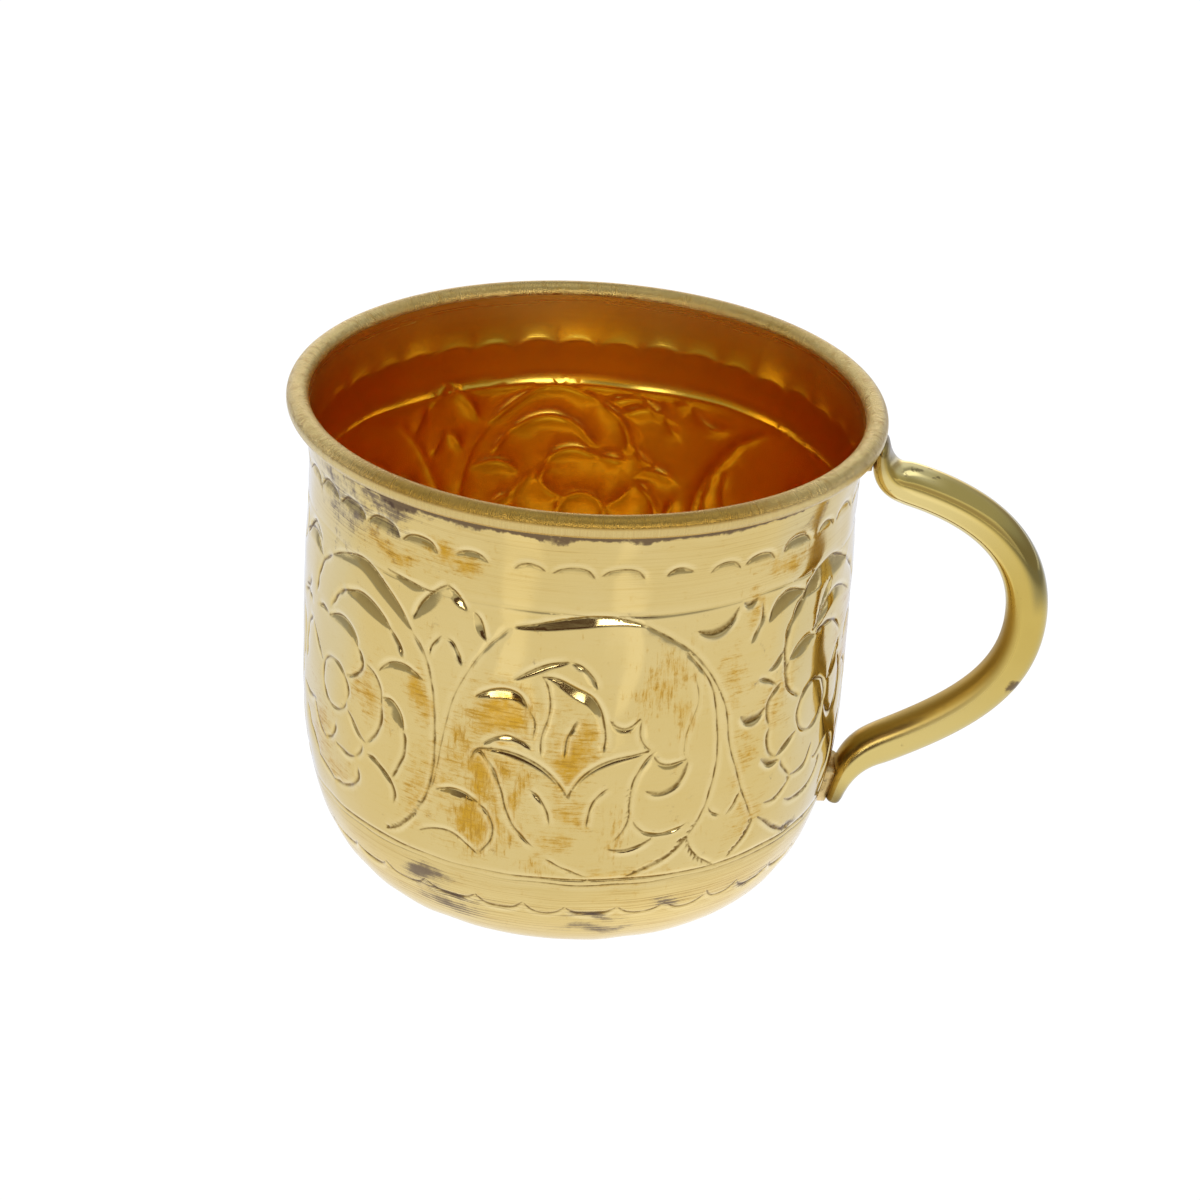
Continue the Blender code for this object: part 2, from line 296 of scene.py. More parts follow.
def palmette(rng):
    """Leaf spray with its open ring, and the leaves that fill the corners beside it."""
    ring = [
        crescent(1.5, (-8.5, 19.6), (-4, 18.4), (0, 17.4), (4, 17.0), (7.5, 17.4), (10.6, 18.4)),
        groove((10.2, 18.1), (14.4, 20.7), (17.7, 23.2), (20.5, 26.6), (22.7, 30.3), (24.2, 34), (25.2, 40),
               (27, 45), (28.2, 48.5), (30, 52.3), (31, 54.3), depth=0.27),
        groove((16.5, 22.6), (19.7, 26.6), (21.5, 29.8), (22.5, 34), (23.1, 40), (22.8, 44.5), (21.5, 50),
               (19.4, 54), depth=0.3),
        crescent(1.3, (19.4, 54), (17.4, 56.7), (15, 58.4), (10, 60.4), slope=0.24),
        groove((-8.8, 19.6), (-12.5, 23.7), (-15, 28), (-17, 32.5), (-18, 36.5), (-18.8, 41), (-19.5, 46),
               (-20.3, 49.4), depth=0.19),
        groove((-2.5, 57), (-0.5, 58.3), (2, 59.5), (4.5, 60.4), depth=0.32),
    ]
    crown = [
        crescent(0.9, (-8.2, 28), (-5.5, 26), (-3, 24.7), (0, 24)),
        groove((0, 24), (2, 25), (3.6, 27), (4, 28.7)),
        crescent(1.5, (-4, 26.8), (-1.8, 26.9), (1, 28.4), (3.4, 29.8), (4.8, 32), (5.5, 35), slope=0.42),
        groove((4.8, 32), (5.6, 36), (5.3, 38.8)),
        groove((-3.8, 26.8), (-3, 28.5), (-2.6, 31), (-2.8, 33.5), (-3.5, 36), (-3.7, 38), (-3.5, 40),
               depth=0.3),
        groove((1.3, 33.7), (0.5, 35.5), (0, 37), (-0.2, 40)),
        groove((1.5, 33.4), (1.0, 34.6), (0.4, 36.2), depth=0.6, flank=0.5),
        crescent(1.5, (-13.8, 31.7), (-12, 30.5), (-10, 29.8), (-8.2, 29.8), (-6.8, 30.5), (-5.7, 32.3)),
        groove((-5.8, 32.1), (-4.7, 34.3), (-4.9, 37.6), depth=0.3),
    ]
    sides = [
        groove((-12.5, 39.3), (-10.5, 37.8), (-8.5, 37.2), (-6.5, 37.7), (-4.8, 38.7)),
        crescent(0.9, (-13.2, 40), (-10.5, 39.6), (-8, 39.7), (-5.5, 40.4), (-3, 41.8), (-1, 43.8),
                 (0.8, 46.5)),
        crescent(0.8, (0.8, 46.5), (1, 45.2), (2.5, 42.8), (4.5, 41), (7, 39.8), (10, 39.2), (12.5, 38.6)),
        groove((-14.4, 42.6), (-12.9, 40.2), (-10.8, 42.7), depth=0.3),
        groove((-12, 41), (-10.5, 43), (-9.3, 46), (-8.5, 49), (-7.5, 51.5), (-5.5, 54), (-3.8, 55.4)),
        groove((-5.3, 45.2), (-3.5, 46.8), (-2.3, 49), (-1.8, 51.4)),
        groove((6.6, 44.4), (5, 46), (4, 48), (3.5, 51.4)),
        groove((13.3, 38.5), (12, 40), (10.8, 42), (10, 44), (9.7, 47), (9.7, 50), (9, 52), (7.5, 54),
               depth=0.32),
        crescent(0.9, (12.8, 39.5), (13.8, 40.8), (15.5, 41.3), (18.2, 40.8)),
        crescent(1.2, (18.3, 41.1), (18, 43), (16.8, 45), (15, 45.9), (13.5, 46), (11.8, 45.2), slope=0.2),
        groove((10.3, 50.2), (11.3, 51.7), (13, 52.8), (15.5, 53), (17.5, 52.5), (19, 51.5)),
        crescent(1.0, (13.7, 53.4), (12, 54.7), (10, 55.5), (8.5, 55.5), (6.8, 55)),
        groove((18, 26), (19.1, 29.5), (19.2, 32), (18.3, 34.8), (17.7, 37), (17.6, 39.5), (18, 40.8),
               depth=0.18),
        groove((10.8, 33), (10.7, 36), (11.5, 37.8), (12.7, 38.8), depth=0.28),
        crescent(0.8, (6, 33.2), (7, 34.3), (8.3, 34.8), (9.5, 34.3), (10.7, 33)),
    ]
    corner_left = [
        petal(2.0, (-24.4, 22.3), (-23.5, 19.8), (-22, 17.8), (-20, 16), (-18.7, 15.2)),
        petal(1.1, (-29.8, 16.1), (-26.5, 16.6), (-23.5, 17), (-20.8, 17.1)),
        crescent(1.3, (-18.9, 15.2), (-17.5, 16.2), (-15.5, 18.4)),
        crescent(1.2, (-14.6, 18.3), (-13.5, 19.5), (-12.4, 22.6)),
        groove((-21.3, 27.2), (-21, 25.5), (-19.3, 23.2)),
        groove((-18.6, 23.4), (-17.3, 24.3), (-15.8, 27.3)),
        crescent(1.2, (-19.5, 48.6), (-17, 47.8), (-14.8, 48), (-12.5, 49)),
        groove((-12.7, 48.9), (-11, 50.8), (-10.3, 53), (-10.7, 55.5), (-12.6, 58.2)),
        crescent(0.8, (-22.5, 56.9), (-20, 55.7), (-17.5, 55.3), (-15.5, 56), (-12.6, 58.2)),
    ]
    corner_right = [
        crescent(2.1, (25.3, 17.3), (24.3, 19.5), (22.5, 20.9), (20.5, 21), (18.3, 20), slope=0.17),
        petal(1.2, (28.8, 16.9), (27.3, 17.8), (25.8, 17)),
        groove((29.6, 17.4), (30, 20), (29, 22), (27.6, 24), depth=0.3),
        petal(2.3, (31, 21.5), (32.5, 19.2), (34.5, 18), (36.5, 18), (39.5, 19)),
        petal(1.2, (35.1, 26.8), (33.5, 29), (31.4, 29.6)),
        groove((19.3, 54.4), (20, 56.5), (21.5, 58.4), (23.5, 60), (25.9, 61.7), depth=0.3),
        petal(1.0, (31.2, 54.3), (30.5, 56.5), (29, 58.5), (27, 60.2)),
        groove((22.1, 49.4), (23, 50.9), (24.7, 51.8)),
        groove((25.5, 52.1), (27, 50.5), (27.9, 48.4)),
    ]
    cuts = [
        *ticks(rng, (21, 51.5), (19.4, 54), (17.4, 56.7), (15, 58.4), (11, 60)),
        *ticks(rng, (19.3, 54.4), (20, 56.5), (21.5, 58.4), (23.5, 60)),
        *ticks(rng, (31.2, 54.3), (30.5, 56.5), (29, 58.5), (27, 60.2)),
        *ticks(rng, (9.8, 44.5), (9.7, 47), (9.7, 50), length=SMALL_TICK),
    ]
    return ring + crown + sides + corner_left + corner_right + cuts


RING_START = 0.3
RING_TURN = tau * 1.02
RING_POINTS = 14


def closed_ring(x, y, radius):
    """Round groove, drawn as one closed pass."""
    turns = np.linspace(RING_START, RING_START + RING_TURN, RING_POINTS)
    return [(x + radius * cos(turn), y + radius * sin(turn)) for turn in turns]


def rosette(rng):
    """Open flower in its ring, as on the wall left of the front spray."""
    flower = [
        groove(*closed_ring(0, 40, 4), depth=0.28),
        groove((-6.4, 29.8), (-4.3, 29.2), (-2.1, 29.5)),
        petal(1.8, (-2.2, 29.7), (0, 28.5), (1.9, 28.1), (3.9, 28.5), (5.5, 29.6), (6.3, 31.2)),
        groove((6.2, 31), (7.4, 33.5), (6.7, 35), (5.2, 36.3), (3.4, 37.1)),
        petal(1.0, (-4.1, 38.2), (-5.5, 37.1), (-7, 35.5), (-8.2, 33.4)),
        petal(0.9, (8.3, 32.9), (10.2, 34), (11.5, 36), (11.9, 38.5)),
        groove((11.8, 38), (11.7, 41), (10.9, 43.5), (8.7, 46.2)),
        petal(0.9, (8.8, 46.1), (6.7, 45.2), (4, 42.5)),
        groove((8, 46.7), (7.4, 48.3), (6.2, 49.5)),
        petal(0.9, (6.4, 49.4), (4.2, 50.2), (0.7, 49.7)),
        petal(0.9, (-2.2, 50.3), (-4.3, 49.7), (-6, 48), (-7, 45.8)),
        groove((-2.4, 50.3), (-0.5, 49.2), (0.8, 46.4)),
        petal(1.0, (-6.6, 45.8), (-10.3, 47), (-13.3, 45.8)),
        groove((-9, 33), (-11.5, 35.2), (-12.6, 38), (-12.2, 41.5)),
    ]
    petals = [
        groove((-1.6, 28), (-0.3, 26), (1.2, 24.3), (3, 23.1)),
        petal(2.0, (2.2, 23.5), (5.7, 22.4), (8.7, 22.7), (11.2, 23.9), (13.4, 25.6)),
        groove((13, 25.2), (14.8, 27.3), (15.9, 29.5)),
        petal(1.2, (11.1, 33.1), (12.2, 31.7), (13.7, 30.6), (15.7, 30.2), (17.7, 30.6), (19.6, 31.5)),
        petal(2.0, (12, 37), (13.7, 37), (15.4, 38.5), (16.4, 41)),
        groove((16.3, 40.7), (16.6, 43.5), (16, 46), (14.2, 49.8)),
        groove((8.8, 47.8), (10.7, 48.2), (12.7, 49.4), (14.2, 50.8), (14.7, 52.5), (14.5, 54.2)),
        groove((7, 50.8), (6.6, 53.4), (4.7, 55.3), (2.2, 56.4), (-0.3, 56.7)),
        petal(1.0, (0, 56.7), (-3.3, 56.1), (-6, 54.9)),
        groove((-11.5, 49), (-10, 51.8), (-7.5, 53.5), (-5.5, 55)),
        groove((-15.5, 31.5), (-12.5, 30.6), (-9.5, 30.8)),
        groove((-15.8, 34.5), (-14.6, 38.5), (-15.2, 43), (-17, 47.5)),
    ]
    ring = [
        petal(2.0, (-2, 19.7), (0.7, 18.2), (3.7, 17.2), (6.2, 16.9), (8.7, 17.5), (11.2, 18.9), (13.4, 20.5),
              (15.7, 22.5), (17.4, 24.3)),
        groove((17, 24), (19.2, 26.6), (20.4, 29.5), (21.2, 33), (21.6, 37), (21.8, 42), (21.6, 46),
               (20.7, 50), (18.7, 54), depth=0.26),
        petal(1.0, (19.2, 53.3), (15.7, 57.5), (12.5, 59.4)),
        groove((-1.8, 19.6), (-4.8, 21.7), (-6.6, 24.5), (-7.3, 28)),
        petal(1.7, (-15.5, 21.5), (-12.5, 19.9), (-9, 19.5), (-5.5, 21.5)),
        groove((-12.5, 59.6), (-16.5, 57), (-19.2, 53)),
    ]
    return flower + petals + ring + ticks(rng, (20, 51.5), (17.7, 55.5), (15.2, 57.8), (12.8, 59.3))


def rosette_by_handle(rng):
    """The flower on the handle's side, cut in another hand's order."""
    flower = [
        groove(*closed_ring(0, 39.4, 4.1), depth=0.3),
        petal(2.1, (-7.4, 29.3), (-5.4, 28), (-2.9, 27), (-0.9, 27.4)),
        groove((-1, 27.3), (1.1, 26.9), (3.6, 27), (6.1, 28), (8.6, 30.5)),
        groove((-7.4, 29.3), (-7.7, 31.8), (-6.6, 34.5), (-4.1, 36.3)),
        groove((-8.6, 32.3), (-10.4, 33.8), (-11.2, 35.5), (-11.2, 37.5), (-10.6, 39)),
        groove((-10.6, 38.9), (-10.8, 41), (-10.4, 43.4), (-8.9, 44.9)),
        petal(1.2, (-4.2, 42), (-6.4, 43.8), (-8.9, 44.9)),
        petal(1.7, (-7.9, 45.6), (-10, 45.9), (-12.1, 44.1)),
        groove((-7.6, 45.7), (-6.6, 47.5), (-4.7, 49.6)),
        petal(1.0, (0.8, 46), (-0.4, 49.3), (-2.9, 49.9), (-4.9, 49.4)),
        petal(1.0, (6.9, 47.8), (5.1, 48.7), (3.1, 49.6), (1.4, 49.1)),
        petal(1.7, (4.6, 37.2), (6.8, 35), (8.4, 31.8)),
        groove((4.3, 41.5), (7.5, 44.2), (10, 43.2), (11, 40), (10.4, 36.8), (8.5, 34)),
    ]
    petals = [
        groove((-14.1, 30.4), (-11.9, 31), (-9.6, 32.6)),
        crescent(2.4, (-11.8, 35.4), (-13.2, 37.2), (-15.4, 37.2), (-16.8, 35.5), slope=0.22),
        petal(1.9, (-2, 26.6), (-0.4, 25.5), (1.6, 23.7), (4.1, 22.7), (6.6, 22.6), (9.6, 23.7),
              (12.2, 25.4)),
        crescent(1.5, (-0.9, 25.4), (0.6, 23.4), (2.1, 21.5), (3.6, 19.8), slope=0.4),
        petal(1.0, (-4.6, 49.8), (-5.4, 51), (-6.9, 52.3), (-8.4, 52.7), (-10.6, 52.2)),
        petal(1.3, (4.9, 50.2), (3.9, 52.7), (2.1, 54.3), (-0.4, 54.9), (-3.4, 54.6), (-5.5, 53.4)),
        groove((11.6, 33.2), (13.4, 31.4), (16.4, 31), (18.6, 32.4)),
        groove((12.2, 37.5), (14.8, 38.6), (15.6, 42), (14.6, 46.4), (11.8, 49.5)),
        groove((8.6, 48), (10.5, 50.6), (10, 54), (7, 56.2)),
    ]
    ring = [
        groove((0.2, 16.2), (-2.4, 18), (-4.4, 19.8), (-6.4, 22), (-7.7, 24), (-8.2, 26.5), (-8, 30),
               (-7, 33.8)),
        petal(3.6, (-4.6, 20.2), (-2.4, 18.3), (0.6, 17), (4.1, 16.8), (7.1, 17.6), (10.5, 19.4)),
        groove((10.3, 19.3), (14.5, 22.5), (17.8, 27), (19.6, 33), (19.9, 40), (18.7, 47), (16, 53)),
        petal(1.3, (-1, 60.8), (-4.9, 59.4), (-7.4, 57.8), (-9.4, 56), (-11.4, 54.3)),
        groove((16.2, 52.7), (13.4, 56.8), (8.8, 59.8)),
    ]
    cuts = [
        *ticks(rng, (-4.6, 49.8), (-5.4, 51), (-6.9, 52.3), (-8.4, 52.7), length=SMALL_TICK),
        *ticks(rng, (4.9, 50.2), (3.9, 52.7), (2.1, 54.3), (-0.4, 54.9), length=SMALL_TICK),
        *ticks(rng, (-2.5, 60.3), (-4.9, 59.4), (-7.4, 57.8), (-9.4, 56)),
    ]
    return flower + petals + ring + cuts


# Rows of scallops and the borders, measured down from the top of the rim. Front scallops, as struck: left and
# right end, width of the facet, top and slope. Front bows: left and right end, and width. The rest follow at
# about their pitch. Borders: depth below the rim, depth of the line, reach above it, and wobble.
FRONT_SCALLOPS = (
    (-48.3, -41.8, 2.2, 8.7, 0.32), (-41.3, -34.5, 2.2, 8.6, 0.33), (-34.4, -27.3, 2.2, 8.7, 0.32),
    (-27, -20.5, 1.8, 9.1, 0.28), (-17.8, -12.6, 1.2, 9.0, 0.28), (-8.8, -4.2, 1, 9.2, 0.22),
    (-3.4, 2.9, 1, 9.3, 0.2), (3.6, 10, 1, 9.3, 0.2), (13, 17.2, 1.1, 9.6, 0.3),
    (19.8, 25, 1.1, 9.8, 0.22), (25.6, 31.4, 1.5, 9.8, 0.26), (33, 39.3, 1.9, 9.4, 0.3),
    (41.2, 45.5, 1.1, 9.3, 0.32), (46.5, 53, 1.5, 9.2, 0.28),
)
FRONT_BOWS = (
    (-31, -22.3, 0.5), (-22.3, -13.5, 1.2), (-13.5, -5.5, 0.8), (-5.5, 1.2, 0.5), (1.2, 9.5, 1.3),
    (9.5, 18, 0.5), (18, 25, 0.6), (25, 31.5, 0.5), (31.5, 39.5, 1.0),
)
BORDERS = ((16.7, 0.2, 0.8, 0.16), (61.0, 0.48, 0.35, 0.1), (61.9, 0.3, 0.3, 0.1))
SCALLOP_PITCH = 6.9
SCALLOP_GAP = 0.4
SCALLOP_SAG = 0.48
SCALLOP_SHOULDER = (0.62, 0.35)
BOW_PITCH = 7.9
BOW_WIDTHS = (0.5, 0.8, 1.2)
BOW_RISE = 1.9
BOW_SHOULDER = (0.6, -0.45)
UPPER_SCALLOP_DROP = 9.1
LOWER_SCALLOP_DROP = 68.3
BORDER_WAVES = (3, 7, 13, 24)
SEAM_OVERLAP = 4

# Places of the flowers round the wall, and the slips of free work: turn, size, place, and each stroke's own
LEFT_FLOWER = -41.7
HANDLE_FLOWER = 43.4
BACK_FLOWER = GIRTH / 2 + 0.8
SLIP_TURN = radians(0.8)
SLIP_SIZE = 0.012
SLIP_PLACE = 0.25
SLIP_STROKE = 0.08


def arch(start, end, crown, first, last, shoulder):
    """Five points of a shallow arch, given how far its two ends and its shoulders lie below its crown."""
    middle, half = (start + end) / 2, (end - start) / 2
    wide, dip = shoulder
    return ((start, crown + first), (middle - wide * half, crown + dip), (middle, crown),
            (middle + wide * half, crown + dip), (end, crown + last))


def upper_scallops(rng):
    """Row of small arches under the rim, no two alike."""
    places = list(FRONT_SCALLOPS)
    start = FRONT_SCALLOPS[-1][1] + SCALLOP_GAP
    length = GIRTH + FRONT_SCALLOPS[0][0] - start
    count = round(length / SCALLOP_PITCH)
    pitch = length / count
    for step in range(count):
        left = start + step * pitch + rng.uniform(0, 0.5)
        top = UPPER_SCALLOP_DROP + rng.uniform(-0.25, 0.25)
        right = left + pitch - rng.uniform(0.2, 0.9)
        places.append((left, right, rng.uniform(1.0, 2.0), top, SOFT_SLOPE))
    row = []
    for left, right, width, top, slope in places:
        sag = SCALLOP_SAG * (right - left) / 2 + rng.uniform(-0.1, 0.2)
        lean = rng.uniform(-0.2, 0.3)
        points = arch(left, right, top, sag - lean, sag + lean, SCALLOP_SHOULDER)
        row.append(crescent(width, *points, slope=slope, hollow=SCALLOP_HOLLOW))
    return row


def lower_scallops(rng):
    """Chain of hanging bows near the base, some struck hard and some hardly at all."""
    start, end = FRONT_BOWS[-1][1], FRONT_BOWS[0][0] + GIRTH
    count = round((end - start) / BOW_PITCH)
    ends = np.linspace(start, end, count + 1)
    ends[1:-1] += rng.uniform(-0.6, 0.6, count - 1)
    bows = list(FRONT_BOWS) + [(*pair, rng.choice(BOW_WIDTHS)) for pair in zip(ends, ends[1:])]
    row = []
    for left, right, width in bows:
        low = LOWER_SCALLOP_DROP + rng.uniform(-0.2, 0.3)
        rise = BOW_RISE + rng.uniform(-0.3, 0.3)
        row.append(crescent(width, *arch(right, left, low, -rise, -rise, BOW_SHOULDER)))
    return row


def border(rng, drop, depth, above, wobble):
    """A line right round the cup, cut by eye, with a soft flank above it."""
    length = GIRTH + 2 * SEAM_OVERLAP
    around = np.linspace(GIRTH + SEAM_OVERLAP, -SEAM_OVERLAP, ceil(length / TOOL_STEP))
    wave = np.zeros(len(around))
    for turns in BORDER_WAVES:
        wave += rng.normal(0, 0.5) * np.sin(tau * turns * around / GIRTH + rng.uniform(0, tau))
    line = np.column_stack([around, drop + wobble * wave])
    like = np.full(len(line), 1.0)
    turn = around / DRAWN_RADIUS - FRONT_ANGLE
    pressure = 0.62 + 0.24 * np.cos(7 * turn - 0.8) + 0.14 * np.cos(2 * turn - 1.2)
    return Stroke(line, depth * pressure, LINE_FLANK * like, above * like)


def set_by_hand(rng, strokes, place, slip):
    """A motif set down at its place, with the small slips of free work where it is repeated."""
    turn = slip * rng.normal(0, SLIP_TURN)
    size = 1 + slip * rng.normal(0, SLIP_SIZE)
    shift = np.array([place, 0]) + slip * rng.normal(0, SLIP_PLACE, 2)
    return [stroke.moved(turn, size, shift + slip * rng.normal(0, SLIP_STROKE, 2)) for stroke in strokes]


def blunter(strokes):
    """The same passes with a blunter liner, so that the grooves are broader."""
    for stroke in strokes:
        if not stroke.hollow:
            stroke.left = BLUNT * stroke.left
            stroke.right = BLUNT * stroke.right
    return strokes


def on_sheet(stroke):
    """A pass carried from front distance and depth to the flat sheet, and across its seam if need be."""
    x = stroke.line[:, 0] + DRAWN_RADIUS * FRONT_ANGLE
    x = x - GIRTH * np.floor(x.mean() / GIRTH)
    y = run_at(stroke.line[:, 1])
    copies = []
    for turn in (-GIRTH, 0, GIRTH):
        if x.max() + turn > -SEAM_OVERLAP and x.min() + turn < GIRTH + SEAM_OVERLAP:
            copies.append(stroke.along(np.column_stack([x + turn, y])))
    return copies


def draw_ornament():
    """Every pass of the tools on the flat sheet."""
    rng = np.random.default_rng(SEED)
    strokes = []
    for place, slip in ((0, 0), (GIRTH / 3, 1), (-GIRTH / 3, 1)):
        strokes += set_by_hand(rng, palmette(rng), place, slip)
    for flower, place, slip in ((rosette, LEFT_FLOWER, 0), (rosette_by_handle, HANDLE_FLOWER, 0),
                                (rosette, BACK_FLOWER, 1)):
        strokes += set_by_hand(rng, blunter(flower(rng)), place, slip)
    strokes += upper_scallops(rng) + lower_scallops(rng)
    drawn = []
    for values in BORDERS:
        line = border(rng, *values)
        drawn.append(line.along(np.column_stack([line.line[:, 0], run_at(line.line[:, 1])])))
    for stroke in strokes:
        drawn += on_sheet(stroke)
    return drawn


# Tarnish and painted shade in a bed: its half-width, and the depths at which a groove's and a facet's is
# full.
# Lips, with a painted highlight: the depth at which one is full, and what a plain groove has of it. Backs of
# the
# passes: the share of a ridge's foot.
CORE = 0.3
FULL_LINE = 0.32
FULL_FACET = 0.09
FULL_LIP = 0.3
LINE_LIP = 0.5
FLANK_CURVE = 1.5
SPREAD = 0.3
AT_ONCE = 2e6


def flank(depth, reach, distance, hollow):
    """Depth left at a distance from a pass's bed."""
    if hollow:
        return depth * np.clip(1 - distance / reach, 0, 1) ** hollow
    near = np.clip(1 - distance / reach, 0, 1) ** FLANK_CURVE
    far = np.clip(1 - distance / SHOULDER, 0, 1) ** 2
    return depth * ((1 - SHOULDER_SHARE) * near + SHOULDER_SHARE * far)


def rounded(depth, reach, distance, _):
    """Height left at a distance from the crest of a ridge, level on its top and at its foot."""
    crest = 1 - smooth_step(distance / reach)
    foot = np.clip(1 - distance / SHOULDER, 0, 1) ** 2
    return depth * ((1 - SPREAD) * crest + SPREAD * foot)


def chase(points, strokes, profile=flank):
    """Height of the worked face at points of the flat sheet, and how near a bed and a raised lip are."""
    order = np.argsort(points[:, 0])
    x = points[order, 0]
    y = points[order, 1]
    depth = np.zeros(len(points))
    core = np.zeros(len(points))
    lip = np.zeros(len(points))
    for stroke in strokes:
        reach = max(stroke.right.max(), SHOULDER)
        low = stroke.line.min(axis=0) - reach
        high = stroke.line.max(axis=0) + reach
        near = np.arange(np.searchsorted(x, low[0]), np.searchsorted(x, high[0]))
        near = near[(y[near] > low[1]) & (y[near] < high[1])]
        if not len(near):
            continue
        start = stroke.line[:-1]
        step = stroke.line[1:] - start
        square = (step ** 2).sum(axis=1) + 1e-12
        counts = np.arange(len(stroke.line))
        for part in np.array_split(near, ceil(len(near) * len(step) / AT_ONCE)):
            away = np.stack([x[part], y[part]], axis=1)[:, None, :] - start[None]
            share = np.clip((away * step).sum(axis=2) / square, 0, 1)
            gap = away - share[..., None] * step
            distance = np.sqrt((gap ** 2).sum(axis=2))
            best = distance.argmin(axis=1)
            rows = np.arange(len(part))
            at = best + share[rows, best]
            off = distance[rows, best]
            right = step[best, 0] * gap[rows, best, 1] > step[best, 1] * gap[rows, best, 0]
            deep = np.interp(at, counts, stroke.depth)
            reach_right = np.interp(at, counts, stroke.right)
            reach_left = np.interp(at, counts, stroke.left)
            fall = np.where(right, profile(deep, reach_right, off, stroke.hollow),
                            profile(deep, reach_left, off, 0))
            depth[part] = np.maximum(depth[part], fall)
            wide = CORE * stroke.left[0] / LINE_FLANK
            # On such crescents the dark of the bed spreads over the facet as painted shade
            wide = np.where(right, np.maximum(wide, stroke.facet_shade * reach_right), wide)
            full = FULL_FACET if stroke.hollow else FULL_LINE
            dark = np.clip(1 - off / wide, 0, 1) * np.clip(deep / full, 0, 1)
            core[part] = np.maximum(core[part], dark)
            edge = np.clip(1 - abs(off - LIP_PLACE) / LIP_PLACE, 0, 1) * np.clip(deep / FULL_LIP, 0, 1)
            edge = np.where(right, 0, edge) if stroke.hollow else LINE_LIP * edge
            lip[part] = np.maximum(lip[part], edge)
    place = np.argsort(order)
    lip = lip * (1 - core)
    return (LIP * lip - depth)[place], core[place], lip[place]


# Hammer marks: number of waves, their turns round the cup, their lengths down the wall and their height
HAMMER_WAVES = 36
HAMMER_TURNS = (4, 34)
HAMMER_LENGTHS = (6, 22)
HAMMER_HEIGHT = 0.008


def hammer_marks(points):
    """Gentle unevenness of hand-raised sheet, closed round the cup."""
    rng = np.random.default_rng(SEED + 1)
    height = np.zeros(len(points))
    for _ in range(HAMMER_WAVES):
        turns = rng.integers(*HAMMER_TURNS)
        wave = tau * rng.uniform(-1, 1) / rng.uniform(*HAMMER_LENGTHS)
        phase = tau * turns * points[:, 0] / GIRTH + wave * points[:, 1] + rng.uniform(0, tau)
        height += HAMMER_HEIGHT * np.sin(phase)
    return height


STROKES = draw_ornament()


# Flat blanks of the sheet, in millimetres, that are then raised on the cup's profile: rows of points beside
# the tool marks, and the spacing of points along the marks, on the plain ground and at the edges
HEIGHT_FADE = 3.0
SHOULDER_ROWS = (0.22, 0.55, 1.2)
FACET_ROWS = (0.83, 0.5, 0.2)
FACET_MARGIN = 0.25
MARK_APART = 0.19
GROUND_SPACING = 1.15
GROUND_APART = 0.55
EDGE_SPACING = 0.8
MARK_MARGIN = (0.25, 0.3)
GROUND_MARGIN = (0.5, 0.7)
ROW_STEP = 0.866


def tool_points():
    """Mesh points that follow the tool marks: their beds first, then the edges of their flanks."""
    beds, edges, rest = [], [], []
    for stroke in STROKES:
        side = across(stroke.line)
        beds.append(stroke.line)
        if stroke.hollow:
            edges.append(stroke.line + side * stroke.right[:, None])
            for share in FACET_ROWS:
                rest.append(stroke.line + side * (share * stroke.right)[:, None])
            rest.append(stroke.line + side * (stroke.right + FACET_MARGIN)[:, None])
        for reach in SHOULDER_ROWS:
            rest.append(stroke.line - side * reach)
            if not stroke.hollow:
                rest.append(stroke.line + side * reach)
    return np.concatenate(beds + edges + rest)


def cells_about(x, y, size):
    """The square cell of a point and its eight neighbours."""
    column, row = int(x // size), int(y // size)
    return [(column + i, row + j) for i in (0, -1, 1) for j in (0, -1, 1)]


def thinned(points, apart, taken):
    """Points taken in turn, leaving out any that falls too near one already taken."""
    kept = []
    for x, y in points:
        cells = cells_about(x, y, apart)
        near = [other for cell in cells for other in taken.get(cell, ())]
        if all((x - a) ** 2 + (y - b) ** 2 > apart * apart for a, b in near):
            taken.setdefault(cells[0], []).append((x, y))
            kept.append((x, y))
    return kept


def sheet_blank(length, marks, apart, spacing, clear):
    """Points and triangles of a flat sheet, dense along given marks and open on the plain ground between."""
    columns = np.linspace(0, GIRTH, COLUMNS + 1)
    rows = np.linspace(0, length, ceil(length / EDGE_SPACING) + 1)
    edge = [(x, y) for y in (0, length) for x in columns]
    edge += [(x, y) for x in (0, GIRTH) for y in rows[1:-1]]
    x, y = marks.T
    side, end = MARK_MARGIN
    inside = (x > side) & (x < GIRTH - side) & (y > end) & (y < length - end)
    kept = thinned(marks[inside], apart, {})
    side, start = GROUND_MARGIN
    ground = []
    for count, y in enumerate(np.arange(start, length - side, spacing * ROW_STEP)):
        shift = 0.5 * spacing * (count % 2)
        ground += [(x, y) for x in np.arange(side + shift, GIRTH - side, spacing)]
    taken = {}
    for x, y in kept:
        taken.setdefault(cells_about(x, y, clear)[0], []).append((x, y))
    ground = thinned(ground, clear, taken)
    result = delaunay_2d_cdt([Vector(point) for point in edge + kept + ground], [], [], 0, 1e-6)
    return np.array([tuple(point) for point in result[0]]), [face[::-1] for face in result[2]]


def edge_fade(y, length):
    """Share that brings relief to nothing at the two edges of a sheet."""
    return smooth_step(y / HEIGHT_FADE) * smooth_step((length - y) / HEIGHT_FADE)


def outer_blank():
    """The worked face, with how deep, how near a bed and how near a lip each point is."""
    length = OUTER_RUN[-1]
    points, faces = sheet_blank(length, tool_points(), MARK_APART, GROUND_SPACING, GROUND_APART)
    worked, bed, lip = chase(points, STROKES)
    height = worked + hammer_marks(points) * edge_fade(points[:, 1], length)
    return np.column_stack([points, height]), faces, {"chase": -worked, "bed": bed, "lip": lip}


